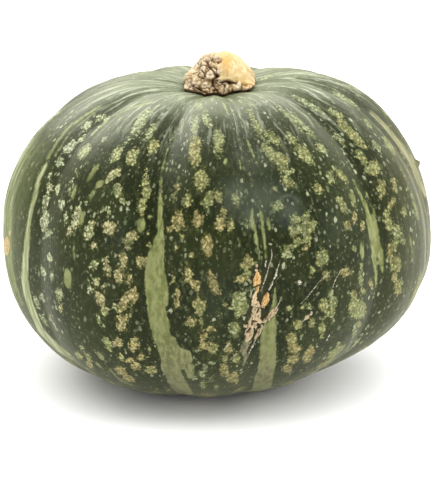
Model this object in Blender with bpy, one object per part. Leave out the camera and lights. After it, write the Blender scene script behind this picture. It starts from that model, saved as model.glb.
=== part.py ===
"""Kabocha squash: one whole fruit with its dried, corky stem, resting on its base.

Two solids: the fruit, and the stem that grew on it. Metres, +Z up, the surface it rests on at Z = 0,
the front towards -Y. Each solid is a closed surface of rings, set out by the functions below.
"""

import math

import bmesh
import bpy
import numpy as np
from mathutils import Vector
from mathutils.bvhtree import BVHTree

# ---- driving dimensions, in metres unless the name says otherwise ----
RADIUS = 0.0975  # half the fruit's width at its widest
UPPER_HEIGHT = 0.0778  # widest ring to the crown, before the basin sinks it
LOWER_HEIGHT = 0.0681  # widest ring to the blossom end, before the base is flattened
UPPER_FULLNESS = 2.32  # superellipse exponents: 2 is an ellipse, more is squarer
LOWER_FULLNESS = 2.28
BASE_FLAT = 0.0030  # how much of the round bottom is flattened where the fruit rests
BASIN_DEPTH = 0.0073  # the hollow that the stem stands in
BASIN_WIDTH = 0.0250
BASIN_Y = -0.0080  # its middle lies a little to the front
SCAR_DEPTH = 0.0028  # the dimple of the blossom end, inside the flat ring
SCAR_RADIUS = 0.0125

# Ten grooves run from stem to blossom end, by longitude in degrees: 0 is the front, 90 is +X.
GROOVES_DEG = (-98.0, -53.5, -16.3, 13.5, 47.6, 80.0, 113.0, 147.0, 185.0, 223.0)
GROOVE_DEPTH = 0.0030  # at the widest ring; half as much again on the shoulder
GROOVE_HALF_WIDTH_DEG = 6.5
# Extra height of the lobe that follows each groove.
LOBE_RISE_MM = (0.0, 0.0, 0.1, -0.1, 0.6, 0.4, -0.9, 0.1, 1.5, -1.6)
# The fruit isn't round: low waves about a line that leans back LEAN_DEG, as (waves, cosine mm, sine mm).
LEAN_DEG = 16.0
UNEVEN_MM = (
    (2, 0.7, 1.8),
    (3, 1.0, 1.0),
    (4, -0.5, -0.6),
    (5, 0.4, -0.75),
    (6, 0.7, -0.6),
)

# The stem is a squat corky knob, wider at its foot, broken off above.
STEM_X, STEM_Y = 0.0021, -0.0006
STEM_HALF_WIDTH, STEM_HALF_DEPTH = 0.0156, 0.0152
STEM_HEIGHT = 0.0176
STEM_SQUARE = 2.7  # superellipse exponent of the foot's outline: 2 is an ellipse, more is squarer
STEM_GAP = 0.00035  # clear of the skin, because the two are separate solids

AROUND, RINGS = 96, 40  # facets of the fruit
STEM_AROUND, STEM_RINGS = 36, 12


def smooth(t):
    t = np.clip(t, 0.0, 1.0)
    return t * t * (3 - 2 * t)


def lobe_height(lon_deg):
    """0 on a groove, about 1 on the crest of a lobe, and the rise of that lobe in metres."""
    starts = sorted((g % 360.0, LOBE_RISE_MM[i]) for i, g in enumerate(GROOVES_DEG))
    lon = np.asarray(lon_deg, float) % 360.0
    height, rise = np.zeros_like(lon), np.zeros_like(lon)
    for i, (start, lift) in enumerate(starts):
        end = starts[(i + 1) % len(starts)][0] + (360.0 if i == len(starts) - 1 else 0.0)
        at = np.where(lon < start, lon + 360.0, lon)
        here = (at >= start) & (at < end)
        across = np.clip((at - start) / (end - start), 0, 1)
        arch = np.sin(np.pi * across)
        near = np.minimum(at - start, end - at) / GROOVE_HALF_WIDTH_DEG
        height = np.where(here, 0.6 * arch + 0.4 * (1 - np.exp(-(near**2))), height)
        rise = np.where(here, lift * 0.001 * arch**2, rise)
    return height, rise


def fruit_surface(lon_deg, phi):
    """A point of the skin. phi runs from -90 degrees at the blossom end to 90 degrees at the stem, in radians."""
    lon = np.radians(lon_deg)
    sin, cos = np.sin(phi), np.abs(np.cos(phi))
    upper = phi >= 0
    full = np.where(upper, UPPER_FULLNESS, LOWER_FULLNESS)
    r = RADIUS * cos ** (2 / full)
    z = np.where(upper, UPPER_HEIGHT, LOWER_HEIGHT) * np.sign(sin) * np.abs(sin) ** (2 / full)
    x, y = r * np.sin(lon), -r * np.cos(lon)
    # lobes and grooves, fading at both ends
    height, rise = lobe_height(lon_deg)
    out = r / RADIUS
    fade = np.clip(out * 1.5, 0, 1) * np.where(upper, 1.0, 0.35 + 0.65 * out**2)
    shoulder = np.where(upper, smooth(np.abs(sin)), 0.0)
    depth = GROOVE_DEPTH * (1 + 0.5 * shoulder)
    grow = (depth * (height - 0.75) + rise * (0.3 + 0.7 * shoulder)) * fade
    # low waves that leave it uneven
    far = np.sqrt(x * x + y * y + z * z) + 1e-9
    lean = math.radians(LEAN_DEG)
    u, w = x / far, (z * math.cos(lean) + y * math.sin(lean)) / far
    away, turn = np.hypot(u, w), np.arctan2(w, u)
    for waves, c, s in UNEVEN_MM:
        grow = grow + 0.001 * (c * np.cos(waves * turn) + s * np.sin(waves * turn)) * away**waves
    scale = 1 + grow / RADIUS
    x, y, z = x * scale, y * scale, z * scale
    basin = np.exp(-((x * x + (y - BASIN_Y) ** 2) / BASIN_WIDTH**2))
    z = z - np.where(upper, BASIN_DEPTH * basin, 0.0)
    # stand it on a flat ring round the blossom end's dimple
    z = z + LOWER_HEIGHT - BASE_FLAT
    z = np.maximum(z, 0.0)
    dimple = SCAR_DEPTH * smooth(1 - r / SCAR_RADIUS)
    z = np.where(upper, z, z + dimple)
    return x, y, z


def even_angles(count):
    """phi for rings that lie evenly along the fruit's outline, poles left out."""
    phi = np.linspace(-math.pi / 2, math.pi / 2, 4001)
    full = np.where(phi >= 0, UPPER_FULLNESS, LOWER_FULLNESS)
    r = RADIUS * np.abs(np.cos(phi)) ** (2 / full)
    z = np.where(phi >= 0, UPPER_HEIGHT, LOWER_HEIGHT) * np.sign(np.sin(phi)) * np.abs(np.sin(phi)) ** (2 / full)
    along = np.concatenate([[0.0], np.cumsum(np.hypot(np.diff(r), np.diff(z)))])
    return np.interp(np.linspace(0, along[-1], count + 2)[1:-1], along, phi)


def closed_rings(name, rings, bottom, top):
    """A closed body from rings of points, low to high, each anticlockwise seen from above, with a point at each end."""
    bm = bmesh.new()
    rows = [[bm.verts.new(p) for p in ring] for ring in rings]
    low, high = bm.verts.new(bottom), bm.verts.new(top)
    n = len(rows[0])
    for i in range(n):
        j = (i + 1) % n
        bm.faces.new((low, rows[0][j], rows[0][i]))
        bm.faces.new((high, rows[-1][i], rows[-1][j]))
        for a, b in zip(rows, rows[1:]):
            bm.faces.new((a[i], a[j], b[j], b[i]))
    bmesh.ops.recalc_face_normals(bm, faces=bm.faces)
    bmesh.ops.triangulate(bm, faces=[f for f in bm.faces if len(f.verts) > 3])
    mesh = bpy.data.meshes.new(name)
    bm.to_mesh(mesh)
    bm.free()
    obj = bpy.data.objects.new(name, mesh)
    bpy.context.scene.collection.objects.link(obj)
    mesh.shade_smooth()
    return obj


def make_material(name, colour, roughness):
    material = bpy.data.materials.new(name)
    material.use_nodes = True
    shader = material.node_tree.nodes["Principled BSDF"]
    shader.inputs["Base Color"].default_value = (*colour, 1)
    shader.inputs["Roughness"].default_value = roughness
    shader.inputs["Metallic"].default_value = 0.0
    return material


def make_fruit():
    lons = np.arange(AROUND) * 360.0 / AROUND
    rings = []
    for phi in even_angles(RINGS):
        x, y, z = fruit_surface(lons, np.full(AROUND, phi))
        rings.append([tuple(map(float, p)) for p in zip(x, y, z)])
    ends = []
    for phi in (-math.pi / 2, math.pi / 2):
        x, y, z = fruit_surface(np.array([0.0]), np.array([phi]))
        ends.append((float(x[0]), float(y[0]), float(z[0])))
    fruit = closed_rings("fruit", rings, ends[0], ends[1])
    fruit.data.materials.append(make_material("fruit_skin", (0.055, 0.075, 0.030), 0.42))
    return fruit


def make_stem(fruit):
    """The knob's underside follows the skin, STEM_GAP above it."""
    skin = BVHTree.FromPolygons(
        [v.co.copy() for v in fruit.data.vertices],
        [tuple(p.vertices) for p in fruit.data.polygons],
    )

    def floor(x, y):
        hit = skin.ray_cast(Vector((x, y, 1.0)), Vector((0, 0, -1)))[0]
        return hit.z + STEM_GAP

    middle = floor(STEM_X, STEM_Y)

    def edge(turn):
        """The foot's outline: a little square, and knobbly all round."""
        cos, sin = math.cos(turn), math.sin(turn)
        lump = 1 + 0.03 * math.sin(5 * turn + 0.2) + 0.02 * math.sin(9 * turn + 1.0)
        lump *= (abs(cos) ** STEM_SQUARE + abs(sin) ** STEM_SQUARE) ** (-1 / STEM_SQUARE)
        return STEM_HALF_WIDTH * lump * cos, STEM_HALF_DEPTH * lump * sin

    rings = []
    under = 4  # rings below the foot, following the skin
    for k in range(1, under + 1):
        ring = []
        for i in range(STEM_AROUND):
            ex, ey = edge(2 * math.pi * i / STEM_AROUND)
            share = 0.93 * k / under
            x, y = STEM_X + ex * share, STEM_Y + ey * share
            ring.append((x, y, floor(x, y)))
        rings.append(ring)
    for k in range(1, STEM_RINGS + 1):
        t = k / (STEM_RINGS + 1)
        # widest at its foot, then a blunt dome
        wide = (1 - t**1.55) ** 0.5
        ring = []
        for i in range(STEM_AROUND):
            turn = 2 * math.pi * i / STEM_AROUND
            ex, ey = edge(turn)
            ease = 0.30 + 0.70 * (1 - t)
            ex = STEM_HALF_WIDTH * math.cos(turn) * (1 - ease) + ex * ease
            ey = STEM_HALF_DEPTH * math.sin(turn) * (1 - ease) + ey * ease
            x, y = STEM_X + ex * wide, STEM_Y + ey * wide
            base = floor(STEM_X + ex, STEM_Y + ey)
            start = base + 0.0012
            top = middle + STEM_HEIGHT
            z = start + (top - start) * t
            ring.append((x, y, z))
        rings.append(ring)
    stem = closed_rings(
        "stem", rings, (STEM_X, STEM_Y, middle), (STEM_X, STEM_Y, middle + STEM_HEIGHT)
    )
    stem.data.materials.append(make_material("stem_cork", (0.50, 0.34, 0.17), 0.85))
    return stem


def centre(objects):
    """Puts the origin under the middle of the whole object, on the surface it rests on."""
    points = np.array([v.co for o in objects for v in o.data.vertices], float)
    low, high = points.min(0), points.max(0)
    shift = Vector((-(low[0] + high[0]) / 2, -(low[1] + high[1]) / 2, 0.0))
    for o in objects:
        for v in o.data.vertices:
            v.co += shift
            v.co.z = max(v.co.z, 0.0)


def main():
    for o in list(bpy.data.objects):
        bpy.data.objects.remove(o)
    fruit = make_fruit()
    stem = make_stem(fruit)
    centre([fruit, stem])


main()
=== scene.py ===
"""Kabocha squash: the looks. A finely shaped skin and a corky stem stand for the two CAD solids."""

import math

import bmesh
import bpy
import numpy as np
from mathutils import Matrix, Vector
from mathutils.bvhtree import BVHTree


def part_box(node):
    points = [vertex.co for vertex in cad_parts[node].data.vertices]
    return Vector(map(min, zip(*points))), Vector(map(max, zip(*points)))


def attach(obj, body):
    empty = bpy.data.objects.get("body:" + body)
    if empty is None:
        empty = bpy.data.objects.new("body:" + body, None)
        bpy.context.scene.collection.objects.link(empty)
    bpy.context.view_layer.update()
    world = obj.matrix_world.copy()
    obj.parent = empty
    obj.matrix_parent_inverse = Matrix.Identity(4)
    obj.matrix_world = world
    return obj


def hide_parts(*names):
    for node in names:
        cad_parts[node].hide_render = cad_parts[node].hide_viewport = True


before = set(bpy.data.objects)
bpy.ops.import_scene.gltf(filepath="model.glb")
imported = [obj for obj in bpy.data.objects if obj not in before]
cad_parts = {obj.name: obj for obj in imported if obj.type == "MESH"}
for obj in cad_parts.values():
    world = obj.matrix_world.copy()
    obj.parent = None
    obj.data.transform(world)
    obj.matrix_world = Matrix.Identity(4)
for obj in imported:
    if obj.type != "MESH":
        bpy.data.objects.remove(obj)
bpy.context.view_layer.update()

# ---------------------------------------------------------------- sizes, as in part.py
RADIUS = 0.0975
UPPER_HEIGHT = 0.0778
LOWER_HEIGHT = 0.0681
UPPER_FULLNESS = 2.32
LOWER_FULLNESS = 2.28
BASE_FLAT = 0.0030
BASIN_DEPTH = 0.0073
BASIN_WIDTH = 0.0250
BASIN_Y = -0.0080
SCAR_DEPTH = 0.0028
SCAR_RADIUS = 0.0125
GROOVES_DEG = (-98.0, -53.5, -16.3, 13.5, 47.6, 80.0, 113.0, 147.0, 185.0, 223.0)
GROOVE_DEPTH = 0.0030
GROOVE_HALF_WIDTH_DEG = 6.5
LOBE_RISE_MM = (0.0, 0.0, 0.1, -0.1, 0.6, 0.4, -0.9, 0.1, 1.5, -1.6)
LEAN_DEG = 16.0
UNEVEN_MM = ((2, 0.7, 1.8), (3, 1.0, 1.0), (4, -0.5, -0.6), (5, 0.4, -0.75), (6, 0.7, -0.6))
STEM_X, STEM_Y = 0.0021, -0.0006
STEM_HALF_WIDTH, STEM_HALF_DEPTH = 0.0156, 0.0152
STEM_HEIGHT = 0.0176
STEM_SQUARE = 2.7

COLUMNS, ROWS = 448, 221  # of the skin: under 200,000 triangles

# ---------------------------------------------------------------- the camera
# It looks at the squash from 16 degrees above. AIM is before the whole is centred, as part.py centres it.
ELEVATION = math.radians(16.0)
DISTANCE = 1.100
AIM = (0.0013, 0.0, 0.0590)
FRAME_W, FRAME_H = 435.0, 495.0
FOCAL = 2376.8  # in units of the 435 x 495 frame
UNIT = DISTANCE / FOCAL  # metres on the squash for each unit of the frame


def smooth(t):
    t = np.clip(t, 0.0, 1.0)
    return t * t * (3 - 2 * t)


def srgb(r, g, b):
    out = []
    for c in (r, g, b):
        c = c / 255.0
        out.append(c / 12.92 if c <= 0.04045 else ((c + 0.055) / 1.055) ** 2.4)
    return tuple(out)


# ---------------------------------------------------------------- noise for shapes
def make_table(seed):
    rng = np.random.RandomState(seed)
    way = rng.normal(size=(256, 3))
    return rng.permutation(256), way / np.linalg.norm(way, axis=1)[:, None]


def perlin(points, size, seed):
    """Gradient noise, about -0.7 to 0.7, of points in metres, with features about size metres wide."""
    order, way = make_table(seed)
    p = points / size
    cell = np.floor(p).astype(int)
    part = p - cell
    ease = part**3 * (part * (part * 6 - 15) + 10)
    total = np.zeros(len(p))
    for dx in (0, 1):
        for dy in (0, 1):
            for dz in (0, 1):
                h = order[(cell[:, 0] + dx) & 255]
                h = order[(h + cell[:, 1] + dy) & 255]
                h = order[(h + cell[:, 2] + dz) & 255]
                dot = ((part - (dx, dy, dz)) * way[h]).sum(1)
                wx = ease[:, 0] if dx else 1 - ease[:, 0]
                wy = ease[:, 1] if dy else 1 - ease[:, 1]
                wz = ease[:, 2] if dz else 1 - ease[:, 2]
                total += wx * wy * wz * dot
    return total * 1.5


def fractal(points, size, seed, octaves=3, falloff=0.5):
    total, scale = np.zeros(len(points)), 1.0
    for i in range(octaves):
        total += scale * perlin(points, size / 2**i, seed + 17 * i)
        scale *= falloff
    return total


def cellular(points, size, seed):
    """(distance to the nearest of scattered points, to the second nearest, a random number of the nearest), in cells."""
    order, _ = make_table(seed)
    rng = np.random.RandomState(seed + 1)
    jitter, value = rng.uniform(0, 1, (256, 3)), rng.uniform(0, 1, 256)
    p = points / size
    cell = np.floor(p).astype(int)
    first = np.full(len(p), 9.0)
    second = np.full(len(p), 9.0)
    name = np.zeros(len(p))
    for dx in (-1, 0, 1):
        for dy in (-1, 0, 1):
            for dz in (-1, 0, 1):
                at = cell + (dx, dy, dz)
                h = order[at[:, 0] & 255]
                h = order[(h + at[:, 1]) & 255]
                h = order[(h + at[:, 2]) & 255]
                far = np.linalg.norm(at + jitter[h] - p, axis=1)
                nearer = far < first
                second = np.where(nearer, first, np.minimum(second, far))
                name = np.where(nearer, value[h], name)
                first = np.where(nearer, far, first)
    return first, second, name


# ---------------------------------------------------------------- the skin's shape, as in part.py
def lobe_height(lon_deg):
    starts = sorted((g % 360.0, LOBE_RISE_MM[i]) for i, g in enumerate(GROOVES_DEG))
    lon = np.asarray(lon_deg, float) % 360.0
    height, rise = np.zeros_like(lon), np.zeros_like(lon)
    for i, (start, lift) in enumerate(starts):
        end = starts[(i + 1) % len(starts)][0] + (360.0 if i == len(starts) - 1 else 0.0)
        at = np.where(lon < start, lon + 360.0, lon)
        here = (at >= start) & (at < end)
        across = np.clip((at - start) / (end - start), 0, 1)
        arch = np.sin(np.pi * across)
        near = np.minimum(at - start, end - at) / GROOVE_HALF_WIDTH_DEG
        height = np.where(here, 0.6 * arch + 0.4 * (1 - np.exp(-(near**2))), height)
        rise = np.where(here, lift * 0.001 * arch**2, rise)
    return height, rise


def fruit_surface(lon_deg, phi):
    lon = np.radians(lon_deg)
    sin, cos = np.sin(phi), np.abs(np.cos(phi))
    upper = phi >= 0
    full = np.where(upper, UPPER_FULLNESS, LOWER_FULLNESS)
    r = RADIUS * cos ** (2 / full)
    z = np.where(upper, UPPER_HEIGHT, LOWER_HEIGHT) * np.sign(sin) * np.abs(sin) ** (2 / full)
    x, y = r * np.sin(lon), -r * np.cos(lon)
    height, rise = lobe_height(lon_deg)
    out = r / RADIUS
    fade = np.clip(out * 1.5, 0, 1) * np.where(upper, 1.0, 0.35 + 0.65 * out**2)
    shoulder = np.where(upper, smooth(np.abs(sin)), 0.0)
    depth = GROOVE_DEPTH * (1 + 0.5 * shoulder)
    grow = (depth * (height - 0.75) + rise * (0.3 + 0.7 * shoulder)) * fade
    far = np.sqrt(x * x + y * y + z * z) + 1e-9
    lean = math.radians(LEAN_DEG)
    u, w = x / far, (z * math.cos(lean) + y * math.sin(lean)) / far
    away, turn = np.hypot(u, w), np.arctan2(w, u)
    for waves, c, s in UNEVEN_MM:
        grow = grow + 0.001 * (c * np.cos(waves * turn) + s * np.sin(waves * turn)) * away**waves
    scale = 1 + grow / RADIUS
    x, y, z = x * scale, y * scale, z * scale
    basin = np.exp(-((x * x + (y - BASIN_Y) ** 2) / BASIN_WIDTH**2))
    z = z - np.where(upper, BASIN_DEPTH * basin, 0.0)
    z = z + LOWER_HEIGHT - BASE_FLAT
    return x, y, z


def settle(x, y, z, r, upper):
    """Flattens the base softly on its ring and sinks the blossom end's dimple."""
    soft = 0.0006
    z = np.where(upper, z, 0.5 * (z + np.sqrt(z * z + soft * soft)))
    dimple = SCAR_DEPTH * smooth(1 - r / SCAR_RADIUS)
    return np.where(upper, z, z + dimple)


def outline(count=6001):
    """phi, the radius before any lobe, and the length along the outline from the widest ring, low to high."""
    phi = np.linspace(-math.pi / 2, math.pi / 2, count)
    full = np.where(phi >= 0, UPPER_FULLNESS, LOWER_FULLNESS)
    r = RADIUS * np.abs(np.cos(phi)) ** (2 / full)
    z = np.where(phi >= 0, UPPER_HEIGHT, LOWER_HEIGHT) * np.sign(np.sin(phi)) * np.abs(np.sin(phi)) ** (2 / full)
    along = np.concatenate([[0.0], np.cumsum(np.hypot(np.diff(r), np.diff(z)))])
    return phi, r, along - np.interp(0.0, phi, along), along


PHI_T, R_T, S_T, ALONG_T = outline()


def spread(start, end, count, weight, closed):
    """count values from start to end, closer together where weight is high."""
    t = np.linspace(start, end, 20001)
    w = weight(t)
    total = np.concatenate([[0.0], np.cumsum((w[1:] + w[:-1]) / 2)])
    if closed:
        at = np.linspace(0, total[-1], count + 1)[:-1]
    else:
        at = np.linspace(0, total[-1], count + 2)[1:-1]
    return np.interp(at, total, t)


def column_weight(lon):
    front = smooth((105.0 - np.abs(lon)) / 40.0)
    scar = smooth((15.0 - np.abs(lon - 21.0)) / 6.0)
    return 0.75 + 0.60 * front + 0.9 * scar


# The skin's map has its seams at these longitudes, below the widest ring, so each is a column.
SEAMS = (-135.0, -45.0, 45.0, 135.0)


def columns():
    total = [column_weight(np.linspace(s, s + 90.0, 400)).mean() for s in (-135.0, -45.0, 45.0)]
    back = column_weight((np.linspace(135.0, 225.0, 400) + 180.0) % 360.0 - 180.0).mean()
    total.append(back)
    share = [int(round(COLUMNS * t / sum(total))) for t in total]
    share[3] = COLUMNS - sum(share[:3])
    out = []
    for s, n in zip((-135.0, -45.0, 45.0, 135.0), share):
        out.append(spread(s, s + 90.0, n, lambda t: column_weight((t + 180.0) % 360.0 - 180.0), True))
    return np.concatenate(out)


def rows():
    """Lengths along the outline, closer together over the scar and close to both ends."""

    def weight(along):
        s = np.interp(along, ALONG_T, S_T)
        scar = smooth((0.036 - np.abs(s + 0.006)) / 0.012)
        return 0.62 + 0.38 * smooth((s + 0.095) / 0.03) + 0.25 * scar

    along = spread(0.0, ALONG_T[-1], ROWS, weight, False)
    return np.interp(along, ALONG_T, PHI_T)


LON = columns()
PHI = rows()
GRID_LON = np.concatenate([np.tile(LON, ROWS), [0.0, 0.0]])
GRID_PHI = np.concatenate([np.repeat(PHI, COLUMNS), [-math.pi / 2, math.pi / 2]])
GRID_R = np.interp(GRID_PHI, PHI_T, R_T)
GRID_S = np.interp(GRID_PHI, PHI_T, S_T)
UPPER = GRID_PHI >= 0


def faces():
    row = np.arange(ROWS - 1)[:, None] * COLUMNS
    i = np.arange(COLUMNS)[None, :]
    j = (i + 1) % COLUMNS
    quads = np.stack([row + i, row + j, row + COLUMNS + j, row + COLUMNS + i], -1).reshape(-1, 4)
    low, high = ROWS * COLUMNS, ROWS * COLUMNS + 1
    i, j = i[0], j[0]
    under = np.stack([np.full(COLUMNS, low), j, i], 1)
    last = (ROWS - 1) * COLUMNS
    over = np.stack([np.full(COLUMNS, high), last + i, last + j], 1)
    return quads, under, over


QUADS, UNDER, OVER = faces()


def normals_of(points):
    """Unit normals of the grid's vertices."""
    total = np.zeros_like(points)
    for f in (QUADS[:, [0, 1, 2]], QUADS[:, [0, 2, 3]], UNDER, OVER):
        a, b, c = points[f[:, 0]], points[f[:, 1]], points[f[:, 2]]
        n = np.cross(b - a, c - a)
        for k in range(3):
            for axis in range(3):
                total[:, axis] += np.bincount(f[:, k], n[:, axis], len(points))
    return total / (np.linalg.norm(total, axis=1)[:, None] + 1e-30)


x, y, z = fruit_surface(GRID_LON, GRID_PHI)
low_x, high_x, low_y, high_y = x.min(), x.max(), y.min(), y.max()
cad_low, cad_high = (np.array(v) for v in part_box("fruit"))
SHIFT = np.array(
    [(cad_low[0] + cad_high[0] - low_x - high_x) / 2, (cad_low[1] + cad_high[1] - low_y - high_y) / 2, 0.0]
)
BASE = np.stack([x, y, z], 1) + SHIFT
NORMAL = normals_of(BASE)
if (NORMAL * (BASE - BASE.mean(0))).sum(1).mean() < 0:
    raise SystemExit("the skin is inside out")

# ---------------------------------------------------------------- the view from the camera
LOOK_AT = np.array(AIM) + SHIFT
BACK = np.array([0.0, -math.cos(ELEVATION), math.sin(ELEVATION)])
RIGHT = np.array([1.0, 0.0, 0.0])
UP = np.array([0.0, math.sin(ELEVATION), math.cos(ELEVATION)])
EYE = LOOK_AT + BACK * DISTANCE
TO_EYE = EYE - BASE
TO_EYE /= np.linalg.norm(TO_EYE, axis=1)[:, None]
FACING = (NORMAL * TO_EYE).sum(1)

tree = BVHTree.FromPolygons(
    [Vector(p) for p in BASE], [tuple(map(int, f)) for part in (QUADS, UNDER, OVER) for f in part]
)


def ray(fx, fy):
    """The direction from the camera through a place in the frame, x to the right and y down."""
    d = -BACK + RIGHT * (fx - FRAME_W / 2) / FOCAL + UP * (FRAME_H / 2 - fy) / FOCAL
    return d / np.linalg.norm(d)


def cast(fx, fy):
    """Where the squash shows at a place in the frame, and its normal there. A miss gives the nearest place on the outline."""
    for shrink in np.linspace(0, 0.2, 60):
        sx, sy = fx + (217.5 - fx) * shrink, fy + (232.0 - fy) * shrink
        hit, normal, _, _ = tree.ray_cast(Vector(EYE), Vector(ray(sx, sy)))
        if hit is not None:
            return np.array(hit), np.array(normal)
    raise SystemExit(f"nothing at {fx}, {fy}")


def on_plane(fx, fy, point, normal, most):
    """Where the ray through a place in the frame meets the plane of the skin, at most that far from point."""
    d = ray(fx, fy)
    t = ((point - EYE) * normal).sum() / min(-0.12, (d * normal).sum())
    step = EYE + d * t - point
    step -= normal * (step * normal).sum()
    far = np.linalg.norm(step)
    return step * min(1.0, most / (far + 1e-12))


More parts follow.
